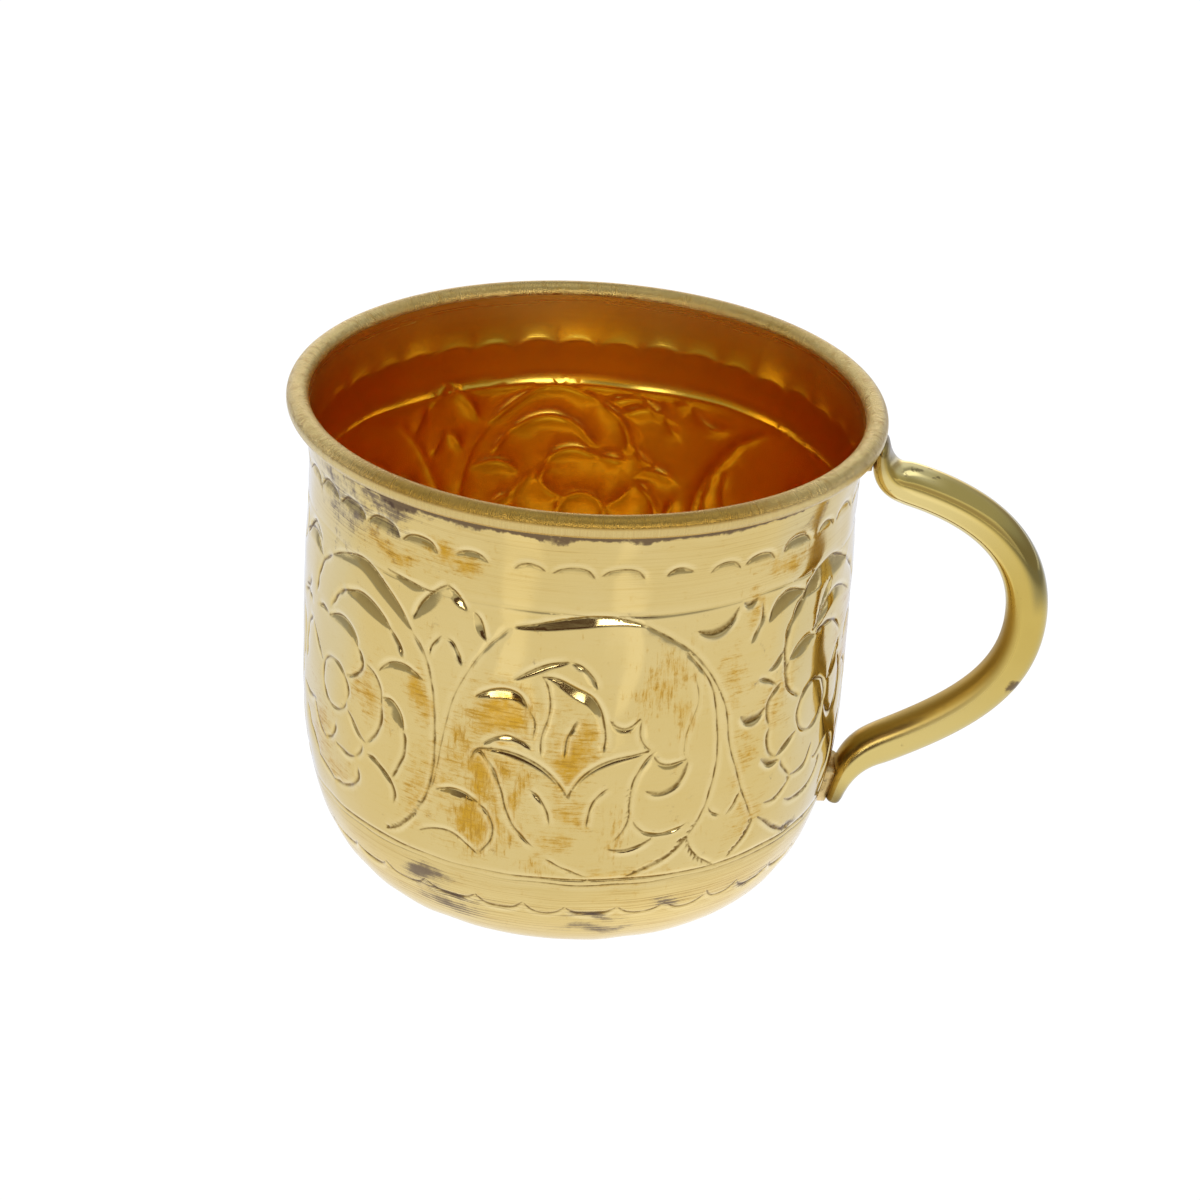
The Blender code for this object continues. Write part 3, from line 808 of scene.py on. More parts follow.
# Back of the chasing, as it shows on the inside: height and reach of a ridge, what the scallops have of it,
# the rows of points along it, and the thickness that the sheet keeps behind the deepest facets
INSIDE = wall_face(SHEET)
INSIDE_RUN = run_along(INSIDE)
BACK_RIDGE = 0.5
BACK_REACH = 1.3
SCALLOP_RIDGE = 0.3
SHORTEST_RIDGE = 2.4
BACK_ROWS = (0, -0.5, 0.5, -1.15, 1.15)
BACK_APART = 0.4
BACK_SPACING = 2.2
BACK_CLEAR = 1.1
LEAST_WALL = 0.35


def back_ridges():
    """What each longer pass raises on the inside: a rounded ridge, faint behind the scallops."""
    ridges = []
    for stroke in STROKES:
        length = run_along(stroke.line)[-1]
        if length < SHORTEST_RIDGE:
            continue
        share = np.clip(stroke.depth / LINE_DEPTH, 0, 1)
        if length > GIRTH:
            share = np.full(len(share), 1.0)
        elif stroke.line[:, 1].mean() < run_at(NECK_DROP):
            share = SCALLOP_RIDGE * share
        reach = np.full(len(stroke.line), BACK_REACH)
        ridges.append(Stroke(stroke.line, BACK_RIDGE * share, reach, reach))
    return ridges


def inner_blank():
    """The inside of the wall, dense along the ridges that stand on it."""
    ridges = back_ridges()
    rows = [ridge.line[::2] + off * across(ridge.line)[::2] for off in BACK_ROWS for ridge in ridges]
    marks = np.concatenate(rows)
    heights = np.interp(marks[:, 1], OUTER_RUN, OUTER[:, 1])
    marks[:, 1] = np.interp(-heights, -INSIDE[:, 1], INSIDE_RUN)
    length = INSIDE_RUN[-1]
    points, faces = sheet_blank(length, marks, BACK_APART, BACK_SPACING, BACK_CLEAR)
    heights = np.interp(points[:, 1], INSIDE_RUN, INSIDE[:, 1])
    behind = np.column_stack([points[:, 0], run_at(CUP_HEIGHT - heights)])
    ridge = chase(behind, ridges, rounded)[0]
    pushed_in = chase(behind, STROKES)[0] + SHEET - LEAST_WALL
    raised = np.minimum(ridge, pushed_in) * edge_fade(points[:, 1], length)
    return np.column_stack([points, raised]), faces


def strip(rows):
    """Plain grid of the sheet for the faces that carry no tool marks."""
    columns = np.linspace(0, GIRTH, COLUMNS + 1)
    x, y = np.meshgrid(columns, rows)
    points = np.column_stack([x.ravel(), y.ravel(), np.zeros(x.size)])
    wide = COLUMNS + 1
    faces = []
    for row in range(len(rows) - 1):
        for column in range(COLUMNS):
            at = row * wide + column
            faces.append((at, at + wide, at + wide + 1, at + 1))
    return points, faces


class Link:
    """A node's socket that takes part in Python sums; each operation adds its Math node."""

    def __init__(self, nodes, socket):
        self.nodes = nodes
        self.socket = socket

    def out(self, name):
        """Another output of the same node."""
        return Link(self.nodes, self.socket.node.outputs[name])

    def maths(self, operation, *terms):
        return self.nodes.node("ShaderNodeMath", {"operation": operation}, dict(enumerate(terms)))

    def __add__(self, other):
        return self.maths("ADD", self, other)

    def __sub__(self, other):
        return self.maths("SUBTRACT", self, other)

    def __rsub__(self, other):
        return self.maths("SUBTRACT", other, self)

    def __mul__(self, other):
        return self.maths("MULTIPLY", self, other)

    def __truediv__(self, other):
        return self.maths("DIVIDE", self, other)

    def __rtruediv__(self, other):
        return self.maths("DIVIDE", other, self)

    def __pow__(self, other):
        return self.maths("POWER", self, other)

    def __abs__(self):
        return self.maths("ABSOLUTE", self)

    __radd__ = __add__
    __rmul__ = __mul__

    def least(self, other):
        return self.maths("MINIMUM", self, other)

    def most(self, other):
        return self.maths("MAXIMUM", self, other)

    def step(self, low, high):
        """Ease from 0 to 1 as the value goes from low to high."""
        return self.nodes.node("ShaderNodeMapRange", {"interpolation_type": "SMOOTHSTEP"},
                               {"Value": self, "From Min": low, "From Max": high})

    def band(self, low, full, fading, gone):
        """Ease from 0 to 1 and back as the value passes four places."""
        return self.step(low, full) * (1 - self.step(fading, gone))


class Nodes:
    """A node tree written as expressions; every node comes from one method."""

    def __init__(self, tree):
        self.tree = tree

    def node(self, kind, settings=None, inputs=None, output=0):
        """A node of a kind, with its settings made first, then the values or links of its inputs."""
        made = self.tree.nodes.new(kind)
        for name, value in (settings or {}).items():
            setattr(made, name, value)
        for name, value in (inputs or {}).items():
            if isinstance(value, Link):
                self.tree.links.new(value.socket, made.inputs[name])
            else:
                made.inputs[name].default_value = value
        return Link(self, made.outputs[output]) if made.outputs else None

    def parts(self, vector):
        """A vector's three values."""
        split = self.node("ShaderNodeSeparateXYZ", inputs={0: vector})
        return split, split.out("Y"), split.out("Z")

    def vector(self, x, y, z):
        return self.node("ShaderNodeCombineXYZ", inputs={0: x, 1: y, 2: z})

    def vectors(self, operation, *terms, output=0):
        return self.node("ShaderNodeVectorMath", {"operation": operation}, dict(enumerate(terms)), output)

    def blend(self, share, first, second):
        """Two colours mixed by a share."""
        return self.node("ShaderNodeMix", {"data_type": "RGBA"}, {0: share, 6: first, 7: second}, 2)

    def coated(self, colour, *coats):
        """A colour with other colours laid over it in turn, each as its share says."""
        for share, coat in coats:
            colour = self.blend(share, colour, coat)
        return colour

    def noise(self, place, scale, detail=4.0, roughness=0.55):
        """Cloudy value between 0 and 1."""
        return self.node("ShaderNodeTexNoise", inputs={
            "Vector": place, "Scale": scale, "Detail": detail, "Roughness": roughness})

    def drawn_out(self, place, stretch, detail, roughness):
        """Cloudy value, drawn out to streaks by a different scale each way."""
        return self.noise(self.vectors("MULTIPLY", place, stretch), 1, detail, roughness)

    def streaks(self, across_sheet, down_sheet, detail, roughness):
        """Streaks on the unrolled sheet, round the cup or up and down it."""
        sheet = self.node("ShaderNodeUVMap", {"uv_map": "sheet"})
        return self.drawn_out(sheet, (across_sheet, down_sheet, 1), detail, roughness)

    def attribute(self, name):
        """A point value of the piece's own mesh."""
        return self.node("ShaderNodeAttribute", {"attribute_name": name}, output="Fac")


def geometry_tree(name, sizes):
    """An empty Geometry Nodes tree with named inputs, and what each input gives."""
    tree = bpy.data.node_groups.new(name, "GeometryNodeTree")
    tree.interface.new_socket("Geometry", in_out="INPUT", socket_type="NodeSocketGeometry")
    for label, kind in sizes.items():
        tree.interface.new_socket(label, in_out="INPUT", socket_type=kind)
    tree.interface.new_socket("Geometry", in_out="OUTPUT", socket_type="NodeSocketGeometry")
    nodes = Nodes(tree)
    return nodes, nodes.node("NodeGroupInput")


def end_tree(nodes, geometry, finish):
    """Close a tree: plain geometry with its finish."""
    real = nodes.node("GeometryNodeRealizeInstances", inputs={"Geometry": geometry})
    finished = nodes.node("GeometryNodeSetMaterial", inputs={"Geometry": real, "Material": finish})
    nodes.node("NodeGroupOutput", inputs={0: finished})
    return nodes.tree


def raising_tree():
    """Rolls a flat blank round the axis and lays it on a profile, with its heights set off the face."""
    nodes, given = geometry_tree("raise_on_profile", {
        "Profile": "NodeSocketObject", "Drawn Radius": "NodeSocketFloat", "Finish": "NodeSocketMaterial"})
    x, y, z = nodes.parts(nodes.node("GeometryNodeInputPosition"))
    turn = x / given.out("Drawn Radius")
    profile = nodes.node("GeometryNodeObjectInfo", {"transform_space": "ORIGINAL"},
                         {"Object": given.out("Profile")}, "Geometry")
    place = nodes.node("GeometryNodeSampleCurve", {"mode": "LENGTH"}, {"Curves": profile, "Length": y},
                       "Position")
    radius, _, height = nodes.parts(place)
    way_out, _, way_up = nodes.parts(place.out("Tangent"))
    radius = radius - way_up * z
    height = height + way_out * z
    raised = nodes.vector(radius * turn.maths("COSINE", turn), radius * turn.maths("SINE", turn), height)
    laid = nodes.node("GeometryNodeSetPosition", inputs={"Geometry": given, "Position": raised})
    return end_tree(nodes, laid, given.out("Finish"))


def set_inputs(modifier, values):
    """Fill a Geometry Nodes modifier's named inputs."""
    for item in modifier.node_group.interface.items_tree:
        if item.in_out == "INPUT" and item.name in values:
            modifier[item.identifier] = values[item.name]


def add_object(name, data):
    """A new object at the origin, in the scene."""
    item = bpy.data.objects.new(name, data)
    bpy.context.scene.collection.objects.link(item)
    return item


def shaped(item, tree, values):
    """Run a Geometry Nodes tree on an object, and leave the result as its plain mesh."""
    modifier = item.modifiers.new(tree.name, "NODES")
    modifier.node_group = tree
    set_inputs(modifier, values)
    depsgraph = bpy.context.evaluated_depsgraph_get()
    mesh = bpy.data.meshes.new_from_object(item.evaluated_get(depsgraph), preserve_all_data_layers=True,
                                           depsgraph=depsgraph)
    result = add_object(item.name, mesh)
    bpy.data.objects.remove(item)
    return result


def profile_curve(name, line):
    """A profile in millimetres as a curve in the plane of the axis and +X."""
    curve = bpy.data.curves.new(name, "CURVE")
    curve.dimensions = "3D"
    spline = curve.splines.new("POLY")
    spline.points.add(len(line) - 1)
    for point, (radius, height) in zip(spline.points, line):
        point.co = (radius * MM, 0, height * MM, 1)
    return add_object(name, curve)


def blank_object(name, points, faces, values):
    """A flat blank as a mesh, with the sheet's own map and its point values."""
    mesh = bpy.data.meshes.new(name)
    mesh.from_pydata((points * MM).tolist(), [], faces)
    corners = np.empty(len(mesh.loops), np.int32)
    mesh.loops.foreach_get("vertex_index", corners)
    layer = mesh.uv_layers.new(name="sheet")
    layer.data.foreach_set("uv", (points[corners, :2] / MAP_UNIT).ravel())
    for label, value in values.items():
        mesh.attributes.new(label, "FLOAT", "POINT").data.foreach_set("value", np.asarray(value, np.float32))
    return add_object(name, mesh)


def closed_up(items, name):
    """Join shells along their shared edges into one closed piece, faces outwards."""
    with bpy.context.temp_override(active_object=items[0], selected_editable_objects=items):
        bpy.ops.object.join()
    piece = items[0]
    piece.name = name
    shape = bmesh.new()
    shape.from_mesh(piece.data)
    bmesh.ops.remove_doubles(shape, verts=shape.verts, dist=MERGED * MM)
    bmesh.ops.recalc_face_normals(shape, faces=shape.faces)
    if shape.calc_volume(signed=True) < 0:
        bmesh.ops.reverse_faces(shape, faces=shape.faces)
    shape.to_mesh(piece.data)
    shape.free()
    piece.data.shade_smooth()
    return piece


# Finishes: brass in several states of polish and tarnish, and colours of painted highlight, shade and
# reflection;
# scales of patterns per metre, heights in metres
PALE_BRASS = (0.76, 0.59, 0.25, 1)
WARM_BRASS = (0.72, 0.53, 0.18, 1)
OLIVE_BRASS = (0.58, 0.40, 0.11, 1)
INNER_BRASS = (0.95, 0.605, 0.10, 1)
RIM_TARNISH = (0.68, 0.445, 0.055, 1)
RIM_OLIVE = (0.80, 0.68, 0.22, 1)
MUSTARD_STAIN = (0.64, 0.36, 0.035, 1)
ORANGE_STAIN = (0.46, 0.25, 0.035, 1)
WORN_EDGE_AND_HIGHLIGHT = (0.93, 0.77, 0.41, 1)
BEAD_BRASS = (0.53, 0.33, 0.075, 1)
BEAD_OLIVE = (0.38, 0.215, 0.034, 1)
RECESS_BROWN = (0.10, 0.058, 0.022, 1)
LINE_BROWN = (0.22, 0.13, 0.03, 1)
SOOT_BROWN = (0.10, 0.055, 0.042, 1)
SMUDGE_GREY = (0.15, 0.105, 0.085, 1)
FILLER_BRASS = (0.80, 0.60, 0.30, 1)
ROD_BRASS = (0.68, 0.505, 0.135, 1)
ROD_OLIVE = (0.60, 0.44, 0.11, 1)
ROD_PALE = (0.86, 0.71, 0.32, 1)
ROD_SHADE = (0.38, 0.30, 0.10, 1)
ROD_INNER_REFLECTION = (0.45, 0.295, 0.06, 1)


def finish_nodes(name):
    """A new material, its empty tree, and places on the piece that wears it."""
    material = bpy.data.materials.new(name)
    material.use_nodes = True
    material.node_tree.nodes.clear()
    nodes = Nodes(material.node_tree)
    return material, nodes, nodes.node("ShaderNodeTexCoord", output="Object")


def end_metal(material, nodes, colour, roughness, relief, height):
    """Close a metal finish: colour, roughness and fine relief of a given height on a bare metal shader."""
    normal = nodes.node("ShaderNodeBump", inputs={"Strength": 1.0, "Distance": height, "Height": relief})
    metal = nodes.node("ShaderNodeBsdfPrincipled", inputs={
        "Base Color": colour, "Metallic": 1.0, "Roughness": roughness, "Normal": normal})
    nodes.node("ShaderNodeOutputMaterial", inputs={"Surface": metal})
    return material


WIPE_EDGE = (0.0, 0.95)
CHASED_RELIEF = 0.02 * MM


def chased_brass():
    """Polished outer face: brown in tool marks, partly painted shade; lips worn pale with a painted
    highlight; orange where tarnish was rubbed thin; sooty under the rim, with a painted shadow line.
    """
    material, nodes, place = finish_nodes("chased_face")
    depth = nodes.attribute("chase")
    lip = nodes.attribute("lip")
    turned = nodes.attribute("turned")
    cloud = nodes.noise(place, scale=60)
    fuzz = nodes.noise(place, scale=420, detail=7, roughness=0.75)
    specks = nodes.noise(place, scale=700, roughness=0.65)
    streaks = nodes.streaks(9, 160, detail=4, roughness=0.6)
    brushed = nodes.streaks(45, 45, detail=5, roughness=0.7)
    round_cup = nodes.streaks(28, 230, detail=4, roughness=0.7)
    up_cup = nodes.streaks(200, 26, detail=4, roughness=0.7)
    lines = nodes.streaks(1.5, 420, detail=3, roughness=0.7)
    warm = cloud.step(0.35, 0.75) * 0.45 + streaks.step(0.45, 0.8) * 0.25
    patchy = (brushed - 0.5) * 1.4 + (fuzz - 0.5) * 1.2 - 0.2
    wiped_round = nodes.attribute("wiped_round") * 1.3 + (round_cup - 0.5) * 1.5 + patchy
    wiped_down = nodes.attribute("wiped_down") * 1.3 + (up_cup - 0.5) * 1.7 + patchy
    wiped_round = wiped_round.step(*WIPE_EDGE)
    wiped_down = wiped_down.step(*WIPE_EDGE)
    clean = (1 - 0.85 * lip.step(0.15, 0.75)) * (1 - 0.8 * depth.step(0.15, 0.35))
    wash = wiped_round.most(wiped_down) * clean
    orange = (wiped_round * round_cup.step(0.48, 0.64)).most(wiped_down * up_cup.step(0.48, 0.62))
    orange = orange * clean * 0.7
    worn_line = turned * (lines.step(0.5, 0.64) * 0.45 + streaks.step(0.55, 0.7) * 0.35)
    pressed = 0.45 + 0.75 * brushed.step(0.3, 0.7)
    # Beds of the lines hold tarnish and painted shade; deeper facets are darkened further as painted shade
    in_bed = nodes.attribute("bed").step(0.15, 0.9) * pressed * (0.6 + 0.7 * specks)
    tarnish_and_shade = (in_bed + depth.step(0.15, 0.65) * pressed * 0.35).least(1)
    fine_line = turned * lines.step(0.58, 0.7) * streaks.step(0.4, 0.6) * 0.35
    mottle = (lines - 0.5) * 2.6 * turned + (fuzz - 0.5) * (2.8 - 1.8 * turned)
    grey = (nodes.attribute("smudge") * 1.2 + mottle - 0.3).step(0.0, 0.6) * 0.85
    # Soot under the rim, together with the painted shadow line below the bead
    black = (nodes.attribute("soot") * 1.6 + specks - 1.05).step(0.0, 0.3) * 0.85
    # Raised lips beside the lines are worn pale and also carry a painted highlight
    colour = nodes.coated(
        PALE_BRASS, (warm, WARM_BRASS), (wash * (0.85 + (fuzz - 0.45) * 1.4), MUSTARD_STAIN),
        (orange, ORANGE_STAIN), (worn_line, ORANGE_STAIN), (lip * (0.7 + 0.3 * fuzz) * 0.85, WORN_EDGE_AND_HIGHLIGHT),
        (tarnish_and_shade, LINE_BROWN), (fine_line, LINE_BROWN), (grey, SMUDGE_GREY), (black, SOOT_BROWN))
    roughness = 0.06 + cloud * 0.05 + orange * 0.2 + wash * 0.05 + tarnish_and_shade * 0.12
    roughness = roughness + (black + grey) * 0.3 + turned * 0.08
    relief = streaks * 0.25 + lines * (0.1 + turned * 0.7) + specks * 0.25
    return end_metal(material, nodes, colour, roughness, relief, CHASED_RELIEF)


# Bead: heights between which its painted pale lower half ends, radii between which its outer half begins, and
# where it has a painted sheen, at the sides and at the back
BEAD_UPPER = (0.0759, 0.0765)
BEAD_OUTER = (0.0434, 0.044)
BEAD_SIDES = (0.022, 0.04)
BEAD_BACK = (0.0, 0.03)
BEAD_RELIEF = 0.2 * MM


def brushed_bead():
    """Rolled rim, matt from cross-brushing, with a little tarnish, and a painted sheen below and at its
    sides.
    """
    material, nodes, place = finish_nodes("brushed_bead")
    cloud = nodes.noise(place, scale=90)
    specks = nodes.noise(place, scale=900, roughness=0.65)
    brushing = nodes.streaks(420, 22, detail=5, roughness=0.7)
    x, y, height = nodes.parts(place)
    radius = (x * x + y * y) ** 0.5
    # Painted reflection of the bright floor on the bead's lower outer half
    low = (1 - height.step(*BEAD_UPPER)) * radius.step(*BEAD_OUTER)
    # Painted sheen at the sides and, fainter, at the back
    painted_sheen = abs(x).step(*BEAD_SIDES).most(y.step(*BEAD_BACK) * 0.45)
    olive = (cloud.step(0.3, 0.7) * 0.5 + brushing * 0.5) * (1 - painted_sheen) + painted_sheen * 0.1
    stained = (specks * 0.5 + brushing * 0.5).step(0.48, 0.62) * 0.6
    colour = nodes.coated(
        BEAD_BRASS, (olive, BEAD_OLIVE), (painted_sheen * 0.8, PALE_BRASS), (stained, ORANGE_STAIN),
        (low * (1.1 - 0.7 * brushing), PALE_BRASS))
    roughness = 0.12 + brushing * 0.2 + cloud * 0.06
    relief = (brushing + specks * 0.6) * (1 - 0.65 * low)
    return end_metal(material, nodes, colour, roughness, relief, BEAD_RELIEF)


# Inside: heights between which the tarnish below the rim and the paler strip at its top set in
TARNISH_START = (0.056, 0.07)
STRIP_START = (0.0695, 0.0765)
INNER_RELIEF = 0.009 * MM


def inner_brass():
    """Inside of the cup: the back of the chasing, duller and more orange than the outside."""
    material, nodes, place = finish_nodes("inner_brass")
    cloud = nodes.noise(place, scale=55)
    specks = nodes.noise(place, scale=800, roughness=0.6)
    lines = nodes.streaks(2.5, 260, detail=4, roughness=0.65)
    _, _, height = nodes.parts(place)
    top = height.step(*STRIP_START)
    colour = nodes.coated(
        INNER_BRASS, (cloud.step(0.3, 0.75) * 0.16 + lines * 0.1, ORANGE_STAIN),
        (specks.step(0.62, 0.75) * 0.2, RECESS_BROWN), (height.step(*TARNISH_START) * 0.75, RIM_TARNISH),
        (top * (0.4 + 0.6 * lines), RIM_OLIVE))
    roughness = 0.15 + lines * 0.06 + cloud * 0.05 + top * 0.08
    return end_metal(material, nodes, colour, roughness, lines + specks * 0.4, INNER_RELIEF)


# Handle: a burn on the bow and its radius. Other marks lie at shares of the way along the rod, and between
# the loop's inner side at -1 and its outer side at 1.
BURN_PLACE = (0.068, -0.003, 0.0349)
BURN_RADIUS = 1.7 * MM
ROD_RELIEF = 0.003 * MM


def cast_brass():
    """Polished rod of the handle, with faint drawing lines along it, a few pits, brown at its ends, and
    painted sheen, shade and reflections.
    """
    material, nodes, place = finish_nodes("polished_rod")
    travel = nodes.attribute("travel")
    outer = nodes.attribute("outer")
    inner = 0 - outer
    cloud = nodes.noise(place, scale=70)
    specks = nodes.noise(place, scale=650, roughness=0.6)
    along = nodes.drawn_out(place, (90, 900, 90), detail=3, roughness=0.6)
    # Painted highlights: on the shoulder's top, near the upper end, and along the lower run
    top = outer.step(0.55, 0.75) * (1 - travel.step(0.12, 0.18))
    upper = (1 - travel.step(0.08, 0.42)) * (1 - outer.step(0.0, 0.3))
    painted_sheen = upper.most(top) + travel.step(0.46, 0.78) * 0.55
    shaded = travel.step(0.05, 0.1) * 0.4 + travel.step(0.24, 0.34) * 0.6
    shaded = outer.step(0.1, 0.5) * shaded * (1 - travel.step(0.41, 0.46)) * (1 - top)
    # Painted reflection of the cup on the loop's inner side
    inside = inner.step(0.2, 0.65) * travel.step(0.36, 0.5)
    # Painted dark reflection line along the lower run
    dark_reflection = inner.band(0.5, 0.6, 0.66, 0.82) * travel.band(0.72, 0.8, 0.9, 0.95)
    pitted = outer.step(0.5, 0.7) * travel.band(0.06, 0.09, 0.14, 0.18) * 0.12
    pits = specks.step(0.68 - pitted, 0.76 - pitted)
    ends = 1 - travel.band(0.0, 0.09, 0.93, 1.0)
    off = nodes.vectors("DISTANCE", place, BURN_PLACE, output="Value")
    burn = (1 - off / BURN_RADIUS + (specks - 0.5) * 1.6).step(0.1, 0.5) * 0.8
    colour = nodes.coated(
        ROD_BRASS, (cloud.step(0.3, 0.75) * 0.6 + along * 0.2, ROD_OLIVE),
        (painted_sheen * (0.8 + 0.4 * (cloud - 0.5)), ROD_PALE), (shaded, ROD_SHADE), (inside * 0.9, ROD_INNER_REFLECTION),
        (dark_reflection * 0.85, RECESS_BROWN), (pits * 0.6, RECESS_BROWN),
        (ends * cloud.step(0.25, 0.55) * 0.8, RECESS_BROWN), (burn, SOOT_BROWN))
    dulled = travel.band(0.4, 0.5, 0.76, 0.86)
    roughness = 0.07 + cloud * 0.06 + along * 0.04 + (ends + burn) * 0.15 + inside * 0.2 + dulled * 0.14
    return end_metal(material, nodes, colour, roughness, along + specks * 0.4, ROD_RELIEF)


FILLER_RELIEF = 0.06 * MM


def brazing_filler():
    """Filler left as it flowed, wiped but not polished."""
    material, nodes, place = finish_nodes("brazing_filler_flow")
    cloud = nodes.noise(place, scale=260)
    specks = nodes.noise(place, scale=1100, roughness=0.65)
    colour = nodes.coated(
        FILLER_BRASS, (cloud.step(0.35, 0.7), OLIVE_BRASS),
        ((specks * 0.6 + cloud * 0.4).step(0.5, 0.66) * 0.75, SOOT_BROWN))
    return end_metal(material, nodes, colour, 0.3 + cloud * 0.25, cloud * 2 + specks, FILLER_RELIEF)


WIRE_RELIEF = 0.02 * MM


def drawn_brass():
    """Wire inside the rolled rim, with its drawing lines and dull skin."""
    material, nodes, place = finish_nodes("drawn_wire")
    cloud = nodes.noise(place, scale=150)
    lines = nodes.drawn_out(place, (60, 60, 2500), detail=3, roughness=0.6)
    colour = nodes.coated(
        WARM_BRASS, (cloud.step(0.3, 0.7), OLIVE_BRASS), (lines.step(0.55, 0.75) * 0.4, RECESS_BROWN))
    return end_metal(material, nodes, colour, 0.32 + lines * 0.2, lines, WIRE_RELIEF)


# Tarnish, placed as on the photographed side: front distance, depth, half-width, half-height, strength. Some
# was wiped round the cup, some up and down it; soot clings under the rim, grey smudges lie on turned parts.
WIPED_ROUND = (
    (-22.5, 34.5, 1.6, 3.6, 1.0), (-33, 38, 3.4, 4, 0.62), (-9.5, 34.5, 5, 3.2, 1.0),
    (0.5, 40.5, 3, 4.5, 0.9), (1, 49, 2.6, 4, 0.55), (3.5, 36, 1.6, 2.2, 0.8), (-20, 46, 3, 5, 0.55),
    (-23, 51, 3, 5, 0.5), (-18, 10.5, 4, 2, 0.75), (-29, 12.8, 6, 1.6, 0.65), (35, 12.6, 5, 1.6, 0.6),
    (28, 19.5, 1.8, 3, 0.6), (25, 29, 2, 6, 0.45), (33, 36, 2, 4, 0.5), (36.5, 32, 2.2, 2.2, 0.6),
    (28, 43, 2, 5, 0.5), (29, 54, 3, 5, 0.5), (-2, 53.5, 4, 3, 0.45), (-46, 50, 4, 5, 0.55),
    (-41, 54, 4, 2, 0.5), (10, 60, 8, 2, 0.45), (60, 34, 8, 9, 0.6), (95, 44, 12, 8, 0.6),
    (-75, 40, 9, 8, 0.6), (-105, 48, 10, 7, 0.6), (128, 36, 8, 8, 0.5), (-12, 45, 7, 11, 0.55),
    (-8, 33.5, 7, 5, 0.6),
)
WIPED_DOWN = (
    (-12.5, 44.5, 2.6, 4, 1.0), (-13, 52, 2.4, 4.5, 1.0), (-9.5, 53, 1.2, 4, 0.8), (-6.8, 47, 1.2, 5, 0.8),
    (-15.5, 38, 2, 4, 0.6), (-6.5, 33, 1.5, 4, 0.7), (14, 28, 4, 5, 0.5), (17, 34, 1.4, 5, 0.5),
    (8, 52, 2, 4, 0.5), (-3, 58, 3, 1.5, 0.45), (75, 48, 6, 8, 0.5), (-90, 30, 6, 6, 0.5),
)
SOOT = (
    (-4, 4.0, 34, 0.75, 0.64), (-34, 4.2, 4, 1.2, 0.6), (-27, 4.5, 5, 1.5, 0.6), (-20, 4.2, 4, 1.1, 0.64),
    (-9, 4.2, 1.6, 0.9, 0.62), (-5, 4.2, 1.4, 1.0, 0.62), (-1.5, 4.2, 1.6, 0.9, 0.62),
    (7, 4.2, 1.2, 0.9, 0.6), (17, 4.0, 2.5, 0.8, 0.6), (96, 3.8, 14, 0.8, 0.56), (-95, 3.8, 10, 0.8, 0.56),
)
SMUDGES = (
    (-22.5, 65.4, 3.2, 1.5, 1.15), (-19, 64.3, 3, 0.8, 0.75), (-19, 67.8, 6, 0.8, 0.62),
    (-19, 70.4, 6, 1.6, 0.68), (6.5, 71.4, 5, 1.2, 0.75), (6, 68.6, 4, 0.7, 0.7), (-30, 6.2, 7, 2.4, 0.6),
    (-40, 9, 10, 6, 0.5), (-28.5, 9.4, 2, 1.2, 0.62), (42, 60.3, 5, 0.8, 0.8), (17.5, 67.2, 2, 0.8, 0.7),
    (36, 67.6, 3.5, 0.8, 0.75), (40, 8, 4, 2, 0.35), (110, 66, 12, 2, 0.5), (-100, 69, 10, 2, 0.5),
)
PATCH_FALL = 0.7
RAGGED_ROUND = 0.9
RAGGED_DOWN = 0.8

# Painted shadow line in the corner under the bead, and how far the lathe-turned parts reach below and above
# the belt
BEAD_SHADOW = 0.58
BEAD_SHADOW_DROP = 4.87
BEAD_SHADOW_FADE = 0.45
LOW_TURNED_DROP = 60
LOW_TURNED_FADE = 4
BAND_TURNED = 0.4
BAND_TURNED_DROP = 16
BAND_TURNED_FADE = 2
FLOOR_ROWS = 8


def patches(points, places):
    """Soft patches with ragged edges on the sheet, each as strong as its place says."""
    x = points[:, 0] + RAGGED_ROUND * np.sin(0.55 * points[:, 1] + 0.2 * points[:, 0])
    y = points[:, 1] + RAGGED_DOWN * np.sin(0.5 * points[:, 0] + 1.3)
    total = np.zeros(len(points))
    for front, drop, wide, high, strength in places:
        off = x - front - DRAWN_RADIUS * FRONT_ANGLE
        off = (off + GIRTH / 2) % GIRTH - GIRTH / 2
        square = (off / wide) ** 2 + ((y - run_at(drop)) / high) ** 2
        total = np.maximum(total, strength * np.exp(-PATCH_FALL * square))
    return total


def worn_values(points):
    """Where each kind of tarnish and wear, and the painted shadow under the bead, lies on the outer face."""
    drops = np.interp(points[:, 1], OUTER_RUN, OUTER_DROP)
    # Painted shadow in the corner under the bead
    bead_shadow = BEAD_SHADOW * smooth_step((BEAD_SHADOW_DROP - drops) / BEAD_SHADOW_FADE)
    turned = smooth_step((drops - LOW_TURNED_DROP) / LOW_TURNED_FADE)
    turned += BAND_TURNED * smooth_step((BAND_TURNED_DROP - drops) / BAND_TURNED_FADE)
    return {
        "wiped_round": patches(points, WIPED_ROUND),
        "wiped_down": patches(points, WIPED_DOWN),
        "soot": np.maximum(patches(points, SOOT), bead_shadow),
        "smudge": patches(points, SMUDGES),
        "turned": turned,
    }


